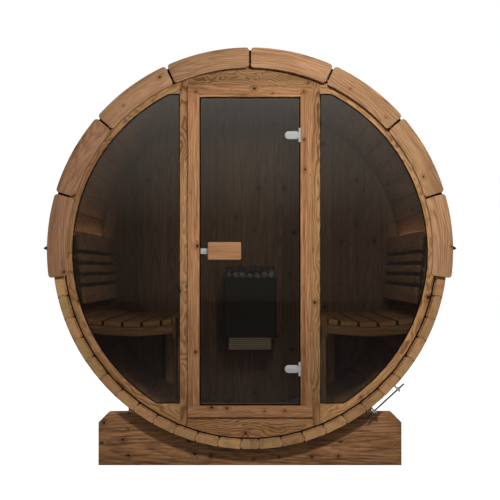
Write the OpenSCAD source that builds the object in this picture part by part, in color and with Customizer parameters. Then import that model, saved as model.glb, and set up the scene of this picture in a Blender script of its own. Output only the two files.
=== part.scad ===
// Barrel sauna: staves held by two steel bands on two saddle cradles, a glazed front
// wall with a glass door, a plain rear wall, a shingled roof over the upper half,
// curved fascia boards, and benches, backrests and a heater inside.
// Millimetres. The front faces -Y, +Z is up, and the origin is on the ground under
// the middle of the barrel.

/* [Barrel] */
// Outside diameter of the barrel across the flats of its staves
barrel_d = 1984; // [1960:1:2000]
// Length of the staves
stave_len = 1540; // [1400:10:2200]
// Thickness of the staves
stave_t = 42; // [38:1:44]
// Height of the barrel's axis above the ground
axis_h = 1085; // [1080:1:1095]

/* [Cradles] */
// Width of a cradle
cradle_w = 1544; // [1400:1:1600]
// Height of a cradle at its ends
cradle_h = 271; // [240:1:300]
// Thickness of a cradle
cradle_t = 60; // [40:1:95]

/* [Front wall] */
// Thickness of the end walls
wall_t = 42; // [38:1:44]
// How far the end walls sit inside the ends of the staves
wall_set_back = 64; // [60:1:80]
// Half the width of the door frame, where the posts start
frame_half_w = 317; // [310:1:325]
// Width of the posts between the door frame and the side windows
post_w = 40; // [34:1:50]
// Radius of the curved edge of the side windows
window_r = 907; // [895:1:912]

/* [Door] */
// Width of the opening between the rebates of the door frame
door_open_w = 514; // [480:1:520]
// Height of the bottom of the door opening
door_open_z0 = 304; // [300:1:320]
// Height of the top of the door opening
door_open_z1 = 1875; // [1800:1:1880]
// Thickness of the glass of the door and the windows
glass_t = 8; // [6:1:8]

/* [Roof and fascia] */
// Number of shingle courses on each side
courses = 11; // [8:1:14]
// Width of the curved fascia boards
fascia_w = 101; // [90:1:110]
// Thickness of the fascia boards
fascia_t = 28; // [20:1:34]

/* [Benches] */
// Distance from the middle of the cabin to the aisle side of a bench
bench_x = 368; // [350:1:380]
// Lowest height of the dished seat
seat_z = 726; // [715:1:735]
// Radius of the dish of the seat
seat_r = 1342; // [1200:1:1500]
// Thickness of the seat slats
slat_t = 28; // [22:1:30]

/* [Heater] */
// Width of the heater
heater_w = 322; // [300:1:340]
// Height of the heater's casing
heater_h = 361; // [340:1:400]
// Depth of the heater's casing
heater_d = 306; // [280:1:320]

/* [Hidden] */

// Barrel
r_out = barrel_d / 2;
r_in = r_out - stave_t;
half_len = stave_len / 2;
staves_a_side = 26;
stave_pitch = 6.72;
narrow_pitch = (360 - 2 * staves_a_side * stave_pitch) / 2;
joint_a = 0.012;               // half the angle left open in each stave joint
group_first = [1, 5, 14, 23];  // first stave of the bottom, lower, upper and top groups
group_last = [4, 13, 22, 26];
r_corner = r_out / cos(stave_pitch / 2);
fine = 256;                    // facets of the large circles

// Cradles
saddle_r = r_corner + 0.6;
cradle_chamfer = [52, 52];
cradle_y = half_len - wall_set_back - 3;   // outer face of a cradle

// Bands
band_w = 24;
band_t = 1.5;
band_r = r_corner + 0.4;
band_y = half_len - 25;
band_gap_a = 9.2;              // angle between the two ears of a band
tensioner_a = -47.4;           // direction of the tensioner seen from the front
ear_t = 8;
ear_z = (band_r + band_t) * sin(band_gap_a / 2);
ear_top = 1030;
rod_r = 4.5;
rod_x = 1016;
rod_low = -128;
rod_high = 122;

// Walls
wall_r = r_in - 0.5;
wall_front_y = -half_len + wall_set_back;
wall_back_y = wall_front_y + wall_t;
post_x = frame_half_w + post_w;
window_z0 = 313;
window_z1 = 1892;
pane_edge = 8;                 // how far a pane sits in its groove
pane_y = wall_front_y + 12;
groove_gap = 0.3;
ring_parts = 4;

// Door frame
frame_z0 = 247;
frame_z1 = 1933;
frame_y = wall_front_y - 14;   // face of the frame, proud of the wall
strip_w = 14;                  // inner strip of the frame, set back from its face
strip_y = frame_y + 8;
rebate_x = door_open_w / 2;
stop_x = rebate_x - 10;
stop_y = strip_y + 18;
shadow_groove = [8, 14];       // width and depth of the groove beside the hinge strip

// Door
door_gap = 6;
glass_y = strip_y + 4;
glass_half_w = rebate_x - door_gap;
glass_z0 = door_open_z0 + door_gap;
glass_z1 = door_open_z1 - door_gap;
handle_x0 = -214;
handle_x1 = -45;
handle_z0 = 1046;
handle_z1 = 1136;
handle_t = 30;
plate_t = 4;
plate_z0 = 1076;
plate_z1 = 1104;
hinge_x = rebate_x - 5;
hinge_y = strip_y - 5.5;
hinge_z = [491, 1680];
hinge_h = 72;
knuckle_r = 6.5;
knuckle_h = 30;
knuckle_gap = 1;
pin_r = 3;
pin_bore_r = 3.08;
leaf_x0 = 177;
leaf_x1 = 241;
leaf_h = 40;
leaf_t = 5;

// Roof
roof_r = r_corner + 5;         // inner corners of the shingle courses
course_up = 5;                 // thickness at the upper edge of a course
course_low = 12;               // thickness at its lower edge
eave_a = 2.3;                  // angle where the lowest course starts
roof_y = half_len - 2;
felt_t = 1.6;
felt_r = roof_r + course_low - 1;
fascia_z = axis_h + 7;
fascia_r = 1017;
fascia_low_a = -7.8;
fascia_boards = 4;
fascia_gap_a = 0.56;
fascia_corner = 16;
fascia_y = half_len + felt_t + 0.4;

// Benches and backrests
bench_y0 = wall_back_y + 28;
bench_y1 = half_len - wall_set_back - wall_t - 4;
skirt_t = 32;
skirt_z0 = 646;
slat_w = 89;
slat_gap = 10;
first_slat_gap = 5;            // keeps the tilted first slat's lower corner off the skirt
first_slat_w = 51;
first_slat_x = bench_x + skirt_t + first_slat_gap + first_slat_w / 2;
slats = 5;
dish_x = bench_x + 244;
seat_edge_z = seat_z + 23;
bearer_h = 44;
bearer_t = 38;
leg_d = 72;
skirt_leg_x = [bench_x + 2, bench_x + 25];     // upright under the skirt, at both ends
back_leg_x = [bench_x + 118, bench_x + 165];   // wider upright under the rear bearer
inside_r = r_in - 1.5;         // wood that is scribed to the barrel's inner face
back_foot = [842, 821];        // lower inner corner of the backrest
back_lean = 5.2;
back_t = 25;
back_heights = [85, 38, 38, 38, 95];
back_gap = 20.4;
rail_u0 = 10;
rail_u1 = 345;
rail_w = 38;
light_size = [12, 10];

// Heater
heater_z0 = 586;
heater_back_y = half_len - wall_set_back - wall_t - 24;
heater_wall = 3;
heater_base_w = 258;
heater_base_h = 74;
bracket_w = 240;
stone_gap = 1;
stone_top_r = 30;

// ---- Helpers ----

function polar(r, a) = [r * cos(a), r * sin(a)];

function arc(r, a0, a1, n, c = [0, 0]) = [for (i = [0:n]) c + polar(r, a0 + (a1 - a0) * i / n)];

// A ring sector with four rounded corners
function rounded_sector(ri, ro, a0, a1, rc, n) =
    let (ao = asin(rc / (ro - rc)), ai = asin(rc / (ri + rc)))
    concat(
        arc(ro, a0 + ao, a1 - ao, n),
        arc(rc, a1 - ao, a1 + 90, 6, polar(ro - rc, a1 - ao)),
        arc(rc, a1 + 90, a1 - ai + 180, 6, polar(ri + rc, a1 - ai)),
        arc(ri, a1 - ai, a0 + ai, n),
        arc(rc, a0 + ai + 180, a0 + 270, 6, polar(ri + rc, a0 + ai)),
        arc(rc, a0 + 270, a0 + ao + 360, 6, polar(ro - rc, a0 + ao))
    );

// Stretches an outline drawn in X and Z from y0 to y1
module along_y(y0, y1) {
    translate([0, y1, 0]) rotate([90, 0, 0]) linear_extrude(y1 - y0) children();
}

// The same, for an outline drawn around the barrel's axis
module on_axis(y0, y1) {
    translate([0, 0, axis_h]) along_y(y0, y1) children();
}

// The same piece at the rear end
module at_rear() mirror([0, 1, 0]) children();

// The same piece on the left
module on_left() mirror([1, 0, 0]) children();

module span(x0, x1, z0, z1) translate([x0, z0]) square([x1 - x0, z1 - z0]);

module block(x0, x1, y0, y1, z0, z1) {
    translate([x0, y0, z0]) cube([x1 - x0, y1 - y0, z1 - z0]);
}

module barrel_disc(r) translate([0, axis_h]) circle(r, $fn = fine);

// ---- Barrel ----

// One flat stave, a trapezium in section, centred on an angle
module stave(mid, pitch) {
    h = pitch / 2 - joint_a;
    ri = r_in / cos(pitch / 2);
    ro = r_out / cos(pitch / 2);
    on_axis(-half_len, half_len)
        polygon([polar(ri, mid - h), polar(ro, mid - h), polar(ro, mid + h), polar(ri, mid + h)]);
}

module side_staves(group) {
    for (i = [group_first[group]:group_last[group]])
        stave(-90 + narrow_pitch / 2 + stave_pitch * (i - 0.5), stave_pitch);
}

module staves_bottom() color("burlywood") {
    stave(-90, narrow_pitch);
    side_staves(0);
    on_left() side_staves(0);
}

module staves_lower_right() color("burlywood") side_staves(1);
module staves_lower_left() color("burlywood") on_left() side_staves(1);
module staves_upper_right() color("burlywood") side_staves(2);
module staves_upper_left() color("burlywood") on_left() side_staves(2);

module staves_top() color("burlywood") {
    stave(90, narrow_pitch);
    side_staves(3);
    on_left() side_staves(3);
}

// ---- Cradles ----

module cradle() {
    w = cradle_w / 2;
    c = cradle_chamfer;
    along_y(-cradle_y, -cradle_y + cradle_t) difference() {
        polygon([[-w, 0], [w, 0], [w, cradle_h - c[1]], [w - c[0], cradle_h],
                 [c[0] - w, cradle_h], [-w, cradle_h - c[1]]]);
        barrel_disc(saddle_r);
    }
}

module cradle_front() color("sienna") cradle();
module cradle_rear() color("sienna") at_rear() cradle();

// ---- Bands ----

module band() {
    a = band_gap_a / 2;
    on_axis(-band_y - band_w / 2, -band_y + band_w / 2) difference() {
        circle(band_r + band_t, $fn = fine);
        circle(band_r, $fn = fine);
        polygon([[0, 0], polar(1200, tensioner_a - a), polar(1200, tensioner_a + a)]);
    }
}

module band_front() color("dimgray") band();
module band_rear() color("dimgray") at_rear() band();

// Threaded rod through the two ears of a band. Here X points away from the barrel's
// axis and Z runs around the barrel.
module tensioner() {
    translate([0, -band_y, axis_h]) rotate([0, -tensioner_a, 0]) {
        translate([rod_x, 0, rod_low]) cylinder(r = rod_r, h = rod_high - rod_low, $fn = 32);
        for (s = [-1, 1]) {
            z = s * ear_z;
            block(band_r - 1, ear_top, -band_w / 2, band_w / 2, z - ear_t / 2, z + ear_t / 2);
            translate([rod_x, 0, z + s * (ear_t / 2 + 4)])
                cylinder(r = 9, h = 8.2, center = true, $fn = 6);
        }
    }
}

module band_tensioners() color("gray") {
    tensioner();
    at_rear() tensioner();
}

// ---- Front wall ----

module window_outline(grow) {
    intersection() {
        barrel_disc(window_r + grow);
        span(post_x - grow, r_out, window_z0 - grow, window_z1 + grow);
    }
}

module pane_groove() {
    along_y(pane_y - groove_gap, pane_y + glass_t + groove_gap)
        window_outline(pane_edge + groove_gap);
}

module wall_slice() along_y(wall_front_y, wall_back_y) children();

module wall_header() color("peru") wall_slice() intersection() {
    barrel_disc(wall_r);
    span(-frame_half_w, frame_half_w, frame_z1, axis_h + r_out);
}

module wall_base() color("peru") wall_slice() intersection() {
    barrel_disc(wall_r);
    span(-frame_half_w, frame_half_w, 0, frame_z0);
}

module wall_post() difference() {
    wall_slice() intersection() {
        barrel_disc(wall_r);
        span(frame_half_w, post_x, 0, axis_h + r_out);
    }
    pane_groove();
}

module wall_posts() color("peru") {
    wall_post();
    on_left() wall_post();
}

// The curved boards between the side window and the staves
module wall_ring() {
    step = 136 / ring_parts;
    for (i = [0:ring_parts - 1]) {
        a0 = (i == 0) ? -90 : -68 + i * step + joint_a;
        a1 = (i == ring_parts - 1) ? 90 : -68 + (i + 1) * step - joint_a;
        difference() {
            wall_slice() difference() {
                intersection() {
                    barrel_disc(wall_r);
                    span(post_x, r_out, 0, axis_h + r_out);
                    translate([0, axis_h])
                        polygon([[0, 0], polar(1400, a0), polar(1400, (a0 + a1) / 2), polar(1400, a1)]);
                }
                window_outline(0);
            }
            pane_groove();
        }
    }
}

module wall_ring_right() color("peru") wall_ring();
module wall_ring_left() color("peru") on_left() wall_ring();

module window_pane() along_y(pane_y, pane_y + glass_t) window_outline(pane_edge);

module window_glass_right() color("dimgray", 0.5) window_pane();
module window_glass_left() color("dimgray", 0.5) on_left() window_pane();

// ---- Door frame ----

module jamb(profile) {
    translate([0, 0, door_open_z0]) linear_extrude(door_open_z1 + strip_w - door_open_z0)
        polygon(profile);
}

module door_jamb_left() color("chocolate") on_left() jamb([
    [frame_half_w, frame_y], [frame_half_w, wall_back_y], [stop_x, wall_back_y],
    [stop_x, stop_y], [rebate_x, stop_y], [rebate_x, strip_y],
    [rebate_x + strip_w, strip_y], [rebate_x + strip_w, frame_y]
]);

// The hinge side has a shadow groove between its face and the inner strip
module door_jamb_right() color("chocolate") jamb([
    [frame_half_w, frame_y], [frame_half_w, wall_back_y], [stop_x, wall_back_y],
    [stop_x, stop_y], [rebate_x, stop_y], [rebate_x, strip_y],
    [rebate_x + strip_w, strip_y], [rebate_x + strip_w, frame_y + shadow_groove[1]],
    [rebate_x + strip_w + shadow_groove[0], frame_y + shadow_groove[1]],
    [rebate_x + strip_w + shadow_groove[0], frame_y]
]);

module door_head() color("chocolate") {
    z = door_open_z1 + strip_w;
    block(-frame_half_w, frame_half_w, frame_y, wall_back_y, z, frame_z1);
    block(-rebate_x, rebate_x, strip_y, stop_y, door_open_z1, z);
    block(-stop_x, stop_x, stop_y, wall_back_y, door_open_z1 - 10, z);
}

module door_sill() color("chocolate") {
    block(-frame_half_w, frame_half_w, frame_y, wall_back_y, frame_z0, door_open_z0);
    block(-stop_x, stop_x, stop_y, wall_back_y, door_open_z0, door_open_z0 + 10);
}

// Fixed knuckles, pins and side plates of the two hinges
module door_hinge_posts() color("silver") {
    end_h = (hinge_h - knuckle_h) / 2 - knuckle_gap;
    for (z = hinge_z) {
        translate([hinge_x, hinge_y, z - hinge_h / 2]) cylinder(r = pin_r, h = hinge_h, $fn = 32);
        for (s = [-1, 1]) {
            zc = z + s * (hinge_h - end_h) / 2;
            translate([hinge_x, hinge_y, zc - end_h / 2])
                cylinder(r = knuckle_r, h = end_h, $fn = 48);
            block(rebate_x - 2.4, rebate_x, hinge_y + 1, stop_y - 7, zc - end_h / 2, zc + end_h / 2);
        }
    }
}

// ---- Door ----

module door_glass() color("saddlebrown", 0.5)
    block(-glass_half_w, glass_half_w, glass_y, glass_y + glass_t, glass_z0, glass_z1);

module door_handle_plate() color("silver")
    block(-glass_half_w, handle_x1 - 17, glass_y - plate_t, glass_y, plate_z0, plate_z1);

module door_handle_outside() color("burlywood")
    block(handle_x0, handle_x1, glass_y - plate_t - handle_t, glass_y - plate_t,
          handle_z0, handle_z1);

module door_handle_inside() color("burlywood")
    block(handle_x0, handle_x1, glass_y + glass_t, glass_y + glass_t + handle_t,
          handle_z0, handle_z1);

module leaf_outline(z) {
    translate([leaf_x0 + leaf_h / 2, z]) circle(leaf_h / 2, $fn = 64);
    span(leaf_x0 + leaf_h / 2, leaf_x1, z - leaf_h / 2, z + leaf_h / 2);
}

// A leaf on each side of the glass, and the knuckle that turns on the hinge's pin
module door_hinge_leaves() color("silver") for (z = hinge_z) {
    along_y(glass_y + glass_t, glass_y + glass_t + leaf_t) leaf_outline(z);
    difference() {
        union() {
            along_y(glass_y - leaf_t, glass_y) leaf_outline(z);
            block(leaf_x1 - 1, hinge_x, hinge_y - 3, glass_y, z - knuckle_h / 2, z + knuckle_h / 2);
            translate([hinge_x, hinge_y, z - knuckle_h / 2])
                cylinder(r = knuckle_r, h = knuckle_h, $fn = 48);
        }
        translate([hinge_x, hinge_y, z - knuckle_h]) cylinder(r = pin_bore_r, h = 2 * knuckle_h, $fn = 48);
    }
}

// ---- Rear wall ----

module rear_wall() color("peru") at_rear() wall_slice() barrel_disc(wall_r);

// ---- Roof ----

// One course of shingles: a slab that is thicker along its lower edge
module course(a0, a1) {
    on_axis(-roof_y, roof_y) polygon([
        polar(roof_r, a0), polar(roof_r + course_low, a0),
        polar(roof_r + course_up, a1), polar(roof_r, a1)
    ]);
}

module roof_side() {
    step = (90 - eave_a) / courses;
    for (i = [0:courses - 1])
        course(eave_a + i * step + joint_a, eave_a + (i + 1) * step - joint_a);
}

module roof_shingles_right() color("darkslategray") roof_side();
module roof_shingles_left() color("darkslategray") on_left() roof_side();

module ridge_cap() color("darkslategray") {
    a = 6.5;
    low = roof_r + course_low + 0.5;
    on_axis(-roof_y, roof_y) polygon([
        polar(low, 90 - a), polar(low + 4, 90 - a), [0, low + 4], polar(low + 4, 90 + a),
        polar(low, 90 + a)
    ]);
}

// The kicked-out drip edge along each eave
module eave_strip() {
    on_axis(-roof_y, roof_y) polygon([
        [roof_r - 3, 2], [roof_r + 10, 2], [roof_r + 40, 17], [roof_r + 40, 21],
        [roof_r + 12, 38], [roof_r - 2, 38]
    ]);
}

module eave_strips() color("black") {
    eave_strip();
    on_left() eave_strip();
}

// Roofing felt folded over the ends of the staves, behind the fascia boards
module felt_end() {
    on_axis(-half_len - felt_t - 0.2, -half_len - 0.2)
        polygon(concat(arc(felt_r, -5, 185, 60), arc(r_in + 1, 185, -5, 60)));
}

module verge_felt() color("black") {
    felt_end();
    at_rear() felt_end();
}

module fascia_side() {
    step = (90 - fascia_low_a) / fascia_boards;
    for (i = [0:fascia_boards - 1]) {
        a0 = fascia_low_a + i * step + (i == 0 ? 0 : fascia_gap_a / 2);
        a1 = fascia_low_a + (i + 1) * step - fascia_gap_a / 2;
        translate([0, 0, fascia_z]) along_y(-fascia_y - fascia_t, -fascia_y)
            polygon(rounded_sector(fascia_r - fascia_w, fascia_r, a0, a1, fascia_corner, 14));
    }
}

module fascia() {
    fascia_side();
    on_left() fascia_side();
}

module fascia_front() color("tan") fascia();
module fascia_rear() color("tan") at_rear() fascia();

// ---- Benches ----

function dish_z(x) = seat_z + seat_r - sqrt(seat_r * seat_r - (x - dish_x) * (x - dish_x));
function slat_x(i) = first_slat_x + (first_slat_w + slat_w) / 2 + slat_gap
    + (i - 1) * (slat_w + slat_gap);

module seat_slat(x, w) {
    along_y(bench_y0, bench_y1) translate([x, dish_z(x)]) rotate(asin((x - dish_x) / seat_r))
        translate([-w / 2, -slat_t]) square([w, slat_t]);
}

module bench_slats() {
    seat_slat(first_slat_x, first_slat_w);
    for (i = [1:slats - 1]) seat_slat(slat_x(i), slat_w);
}

module bench_slats_right() color("peru") bench_slats();
module bench_slats_left() color("peru") on_left() bench_slats();

// A curved bearer under the slats, scribed to the staves at its outer end
module bearer(y) {
    top_r = seat_r + slat_t + 1;
    along_y(y, y + bearer_t) intersection() {
        translate([dish_x, seat_z + seat_r]) difference() {
            circle(top_r + bearer_h, $fn = fine);
            circle(top_r, $fn = fine);
        }
        span(bench_x + skirt_t + 0.5, r_in, seat_z - 150, seat_z + 60);
        barrel_disc(inside_r);
    }
}

module leg(x, top, y) {
    along_y(y, y + leg_d) intersection() {
        span(x[0], x[1], 0, top);
        barrel_disc(inside_r);
    }
}

module bench_frame() {
    along_y(bench_y0, bench_y1) span(bench_x, bench_x + skirt_t, skirt_z0, seat_edge_z);
    for (y = [bench_y0 + 4, (bench_y0 + bench_y1 - bearer_t) / 2, bench_y1 - 4 - bearer_t])
        bearer(y);
    rear_y = bench_y1 - 4 - leg_d;
    for (y = [bench_y0 + 4, rear_y])
        leg(skirt_leg_x, skirt_z0 - 0.5, y);
    leg(back_leg_x, dish_z(back_leg_x[1]) - slat_t - bearer_h - 3, rear_y);
}

module bench_frame_right() color("peru") bench_frame();
module bench_frame_left() color("peru") on_left() bench_frame();

// ---- Backrests ----

// Places an outline on the leaning plane of the backrest: X points to the staves
module on_back() translate(back_foot) rotate(-back_lean) children();

function back_u(i) = i == 0 ? 0 : back_u(i - 1) + back_heights[i - 1] + back_gap;

module backrest_slats() {
    for (i = [0:len(back_heights) - 1])
        along_y(bench_y0, bench_y1) on_back() span(0, back_t, back_u(i), back_u(i) + back_heights[i]);
}

module backrest_slats_right() color("peru") backrest_slats();
module backrest_slats_left() color("peru") on_left() backrest_slats();

module side_rails() {
    mid = (bench_y0 + bench_y1 - rail_w) / 2;
    for (y = [bench_y0 + 76, mid, bench_y1 - 76 - rail_w])
        along_y(y, y + rail_w) intersection() {
            on_back() span(back_t + 0.4, 120, rail_u0, rail_u1);
            barrel_disc(inside_r);
        }
}

module backrest_rails() color("peru") {
    side_rails();
    on_left() side_rails();
}

// Slim light profile on top of the rails, hidden behind the top slat
module light_strip() {
    along_y(bench_y0 + 40, bench_y1 - 20) on_back()
        translate([back_t + 4, rail_u1 + 1]) square(light_size);
}

module light_strips() color("lightyellow") {
    light_strip();
    on_left() light_strip();
}

// ---- Heater ----

module heater_body() color("dimgray") {
    w = heater_w / 2;
    y0 = heater_back_y - heater_d;
    t = heater_wall;
    difference() {
        block(-w, w, y0, heater_back_y, heater_z0, heater_z0 + heater_h);
        block(t - w, w - t, y0 + t, heater_back_y - t, heater_z0 + t, heater_z0 + heater_h + 1);
    }
}

// Steel air inlet under the casing, and the bracket between the casing and the wall
module heater_base() color("silver") {
    w = heater_base_w / 2;
    y0 = heater_back_y - heater_d;
    block(-w, w, y0 + 12, heater_back_y - 8, heater_z0 - heater_base_h, heater_z0);
    block(-bracket_w / 2, bracket_w / 2, heater_back_y, heater_back_y + 24,
          heater_z0 + 34, heater_z0 + heater_h - 50);
}

// The heap of stones, as one closed mound that stands on the casing's floor
module heater_stones() color("darkgray") {
    w = heater_w / 2 - heater_wall - stone_gap;
    y0 = heater_back_y - heater_d + heater_wall + stone_gap;
    y1 = heater_back_y - heater_wall - stone_gap;
    z1 = heater_z0 + heater_h;
    hull() {
        block(-w, w, y0, y1, heater_z0 + heater_wall, z1 - 4);
        for (x = [-95, 95]) {
            translate([x, y0 + 52, z1 + 30]) sphere(stone_top_r, $fn = 32);
            translate([x, y1 - 52, z1 + 50]) sphere(stone_top_r, $fn = 32);
        }
    }
}

cradle_front();
cradle_rear();
staves_bottom();
staves_lower_left();
staves_lower_right();
staves_upper_left();
staves_upper_right();
staves_top();
band_front();
band_rear();
band_tensioners();
wall_header();
wall_base();
wall_posts();
wall_ring_left();
wall_ring_right();
window_glass_left();
window_glass_right();
door_jamb_left();
door_jamb_right();
door_head();
door_sill();
door_hinge_posts();
door_glass();
door_handle_plate();
door_handle_outside();
door_handle_inside();
door_hinge_leaves();
rear_wall();
roof_shingles_left();
roof_shingles_right();
ridge_cap();
eave_strips();
verge_felt();
fascia_front();
fascia_rear();
bench_slats_left();
bench_slats_right();
bench_frame_left();
bench_frame_right();
backrest_slats_left();
backrest_slats_right();
backrest_rails();
light_strips();
heater_body();
heater_base();
heater_stones();
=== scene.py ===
import math
import random

import bmesh
import bpy
from mathutils import Euler, Matrix, Vector, noise


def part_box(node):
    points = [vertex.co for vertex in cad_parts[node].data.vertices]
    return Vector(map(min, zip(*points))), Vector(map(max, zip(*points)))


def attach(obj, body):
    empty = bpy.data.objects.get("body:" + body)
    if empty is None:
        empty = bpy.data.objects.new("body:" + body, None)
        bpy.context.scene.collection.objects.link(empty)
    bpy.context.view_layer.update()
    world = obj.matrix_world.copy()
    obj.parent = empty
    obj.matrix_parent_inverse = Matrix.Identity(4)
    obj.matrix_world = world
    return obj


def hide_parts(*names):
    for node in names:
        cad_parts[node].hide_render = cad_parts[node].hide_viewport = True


# Looks of the barrel sauna. Lengths are in millimetres here, and a piece is scaled to
# metres when its mesh is made. The front faces -Y, +X is on the right and +Z is up.

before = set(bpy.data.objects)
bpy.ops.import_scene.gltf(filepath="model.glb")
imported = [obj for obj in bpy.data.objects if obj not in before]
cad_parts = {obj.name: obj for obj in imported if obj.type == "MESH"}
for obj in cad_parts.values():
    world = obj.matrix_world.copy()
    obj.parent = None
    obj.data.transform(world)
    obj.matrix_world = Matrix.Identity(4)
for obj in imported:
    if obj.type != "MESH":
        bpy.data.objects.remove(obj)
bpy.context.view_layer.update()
MM = 0.001


def extent(node, axis):
    """A node's lowest and highest place along an axis."""
    return tuple(round(corner["xyz".index(axis)] / MM, 2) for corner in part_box(node))


# ---- Sizes ----

AXIS_Z = 1085                 # the barrel's axis
STAVE_R = (950, 992)          # inner and outer faces of the staves
HALF_LEN = extent("staves_bottom", "y")[1]
STAVE_PITCH = 6.72            # degrees
NARROW_PITCH = 5.28           # the staves at the very bottom and top
STAVE_GROUPS = {              # first and last stave of each node, on one side
    "staves_bottom": (1, 4),
    "staves_lower": (5, 13),
    "staves_upper": (14, 22),
    "staves_top": (23, 26),
}
JOINT_BULGE = 6.5             # how far a stave's bead reaches into its neighbour
STAVE_NOTCH = 6.5             # chamfers of a stave, which show as small notches
STAVE_GAP = 0.55              # half the open joint between two staves
SPLIT_NOTCH = 1.4             # chamfers of the joint within the bottom stave

CRADLE_HALF_W = extent("cradle_front", "x")[1]
CRADLE_Y = extent("cradle_front", "y")
CRADLE_H = extent("cradle_front", "z")[1]
CRADLE_CHAMFER = (52, 52)
SADDLE_R = 994.3

BAND_R = 994.1
BAND_T = 1.5
BAND_W = 24
BAND_Y = sum(extent("band_rear", "y")) / 2
BAND_GAP = 4.6                # degrees left open on each side of the tensioner
TENSIONER_ANGLE = -47.4
EAR_Z = 79.85
EAR_T = 8
EAR_TOP = 1030
ROD_R = 4.5
ROD_X = 1016
ROD_ENDS = (-128, 122)

WALL_R = extent("rear_wall", "x")[1]
WALL_Y = extent("wall_header", "y")
BOARD_EDGE = 1.6              # rounding of planed boards
FRAME_HALF_W = extent("wall_header", "x")[1]
POST_X = extent("wall_posts", "x")[1]
WINDOW_R = 907
WINDOW_Z = (313, 1892)
PANE_EDGE = 8
PANE_Y = extent("window_glass_left", "y")
RING_PARTS = 4
RING_SPAN = 136               # degrees of the curved boards beside a window
RING_R = 928
# Width of the black ring that paints shade along the end walls' joint with the staves.
WALL_SHADE_W = 6

FRAME_Z = (extent("door_sill", "z")[0], extent("door_head", "z")[1])
FRAME_Y = extent("door_head", "y")[0]
STRIP_Y = -712
STOP_Y = -694
STRIP_X = (257, 271)
STOP_X = extent("door_jamb_right", "x")[0]
OPENING_Z = (304, 1875)
SHADOW_GROOVE = (8, 14)
SEAL_T = 3.5

GLASS_X = extent("door_glass", "x")
GLASS_Y = extent("door_glass", "y")
GLASS_Z = extent("door_glass", "z")
HANDLE_X = extent("door_handle_outside", "x")
HANDLE_Z = extent("door_handle_outside", "z")
HANDLE_T = 30
PLATE_X = extent("door_handle_plate", "x")
PLATE_Z = extent("door_handle_plate", "z")
PLATE_T = 4
HINGE_X = 252
HINGE_Y = -717.5
HINGE_Z = (491, 1680)
HINGE_H = 72
KNUCKLE_R = 6.5
KNUCKLE_H = 30
LEAF_X = (177, 241)
LEAF_H = 40
LEAF_T = 5

REAR_Y = extent("rear_wall", "y")
REAR_BOARD = 105

ROOF_R = 998.7
COURSES = 11
COURSE_UP = 5
COURSE_LOW = 12
EAVE_ANGLE = 2.3
ROOF_Y = extent("ridge_cap", "y")[1]
TABS = 8
TAB_SLOT = 7
TAB_CORNER = 9
RIDGE_ANGLE = 6.5
RIDGE_CAPS = 6

FASCIA_Z = 1092
FASCIA_R = (916, 1017)
FASCIA_Y = extent("fascia_front", "y")
FASCIA_LOW_ANGLE = -7.8
FASCIA_BOARDS = 4
FASCIA_GAP = 0.56
FASCIA_CORNER = 16
# Each board's value and redness: the left boards are darker as painted shade and the right ones
# lighter as painted light, on top of each board's own tone.
FASCIA_LEFT_SHADED = ((0.81, 0.01), (0.86, 0.005), (0.93, 0), (0.8, 0))   # value, redness
FASCIA_RIGHT_LIT = ((1.1, 0), (1.06, 0), (1.0, 0), (0.97, 0))

BENCH_X = extent("bench_frame_right", "x")[0]
BENCH_Y = extent("bench_slats_right", "y")
SCREW_INSET = 23              # from the slats' ends
SKIRT_T = 32
SKIRT_Z = (646, 749)
SEAT_Z = 726
SEAT_R = 1342
DISH_X = 612
SLAT_T = 28
FIRST_SLAT = (430.5, 51)      # middle and width of the slat beside the skirt
SEAT_SLATS = (510.5, 609.5, 708.5, 807.5)
SLAT_W = 89
BEARER_H = 44
BEARER_T = 38
SKIRT_LEG_X = (370, 393)
BACK_LEG_X = (486, 533)
LEG_D = 72
LEG_INSET = 4
INSIDE_R = 948.5
BACK_FOOT = (842, 821)
BACK_LEAN = math.radians(5.2)
BACK_T = 25
BACK_HEIGHTS = (85, 38, 38, 38, 95)
BACK_GAP = 20.4
RAIL_U = (10, 345)
RAIL_W = 38
RAIL_INSET = 76
LIGHT_P = (29, 41)
LIGHT_U = (346, 356)
LIGHT_Y = extent("light_strips", "y")

HEATER_HALF_W = extent("heater_body", "x")[1]
HEATER_Y = extent("heater_body", "y")
HEATER_Z = extent("heater_body", "z")
HEATER_WALL = 3
INLET_HALF_W = extent("heater_base", "x")[1]
INLET_Y = (346, 632)
INLET_Z = (512, 586)
BRACKET_HALF_W = 120
BRACKET_Z = (620, 897)
VENTS = 9
VENT_PITCH = 18
LOUVRES = 5
LOUVRE_PITCH = 12
STONES_TOP = 1026

# ---- Studio, in metres and watts ----

FLOOR_R = 29.4
WORLD_MATT = 0.6              # share of the room's light that matt surfaces get
ROOM_TINT = (1, 0.945, 0.83)
ROOM_LEVELS = [(0.0, 0.03), (0.482, 0.03), (0.486, 0.08), (0.522, 0.1), (0.56, 0.44),
               (0.582, 0.77), (0.64, 0.53), (0.72, 0.21), (1.0, 0.15)]   # from below to above
CABIN_TINT = (1, 0.98, 0.95)
CAMERA_PLACE = (0, -6.16, 0.9945)
CAMERA_LENS = 77.15
CAMERA_SHIFT_Y = 0.04

MIRROR_X = Matrix.Scale(-1, 4, (1, 0, 0))
MIRROR_Y = Matrix.Scale(-1, 4, (0, 1, 0))
SIDES = (("left", -1, MIRROR_X), ("right", 1, Matrix.Identity(4)))
ENDS = (("front", Matrix.Identity(4)), ("rear", MIRROR_Y))


# ---- Shader nodes ----

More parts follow.
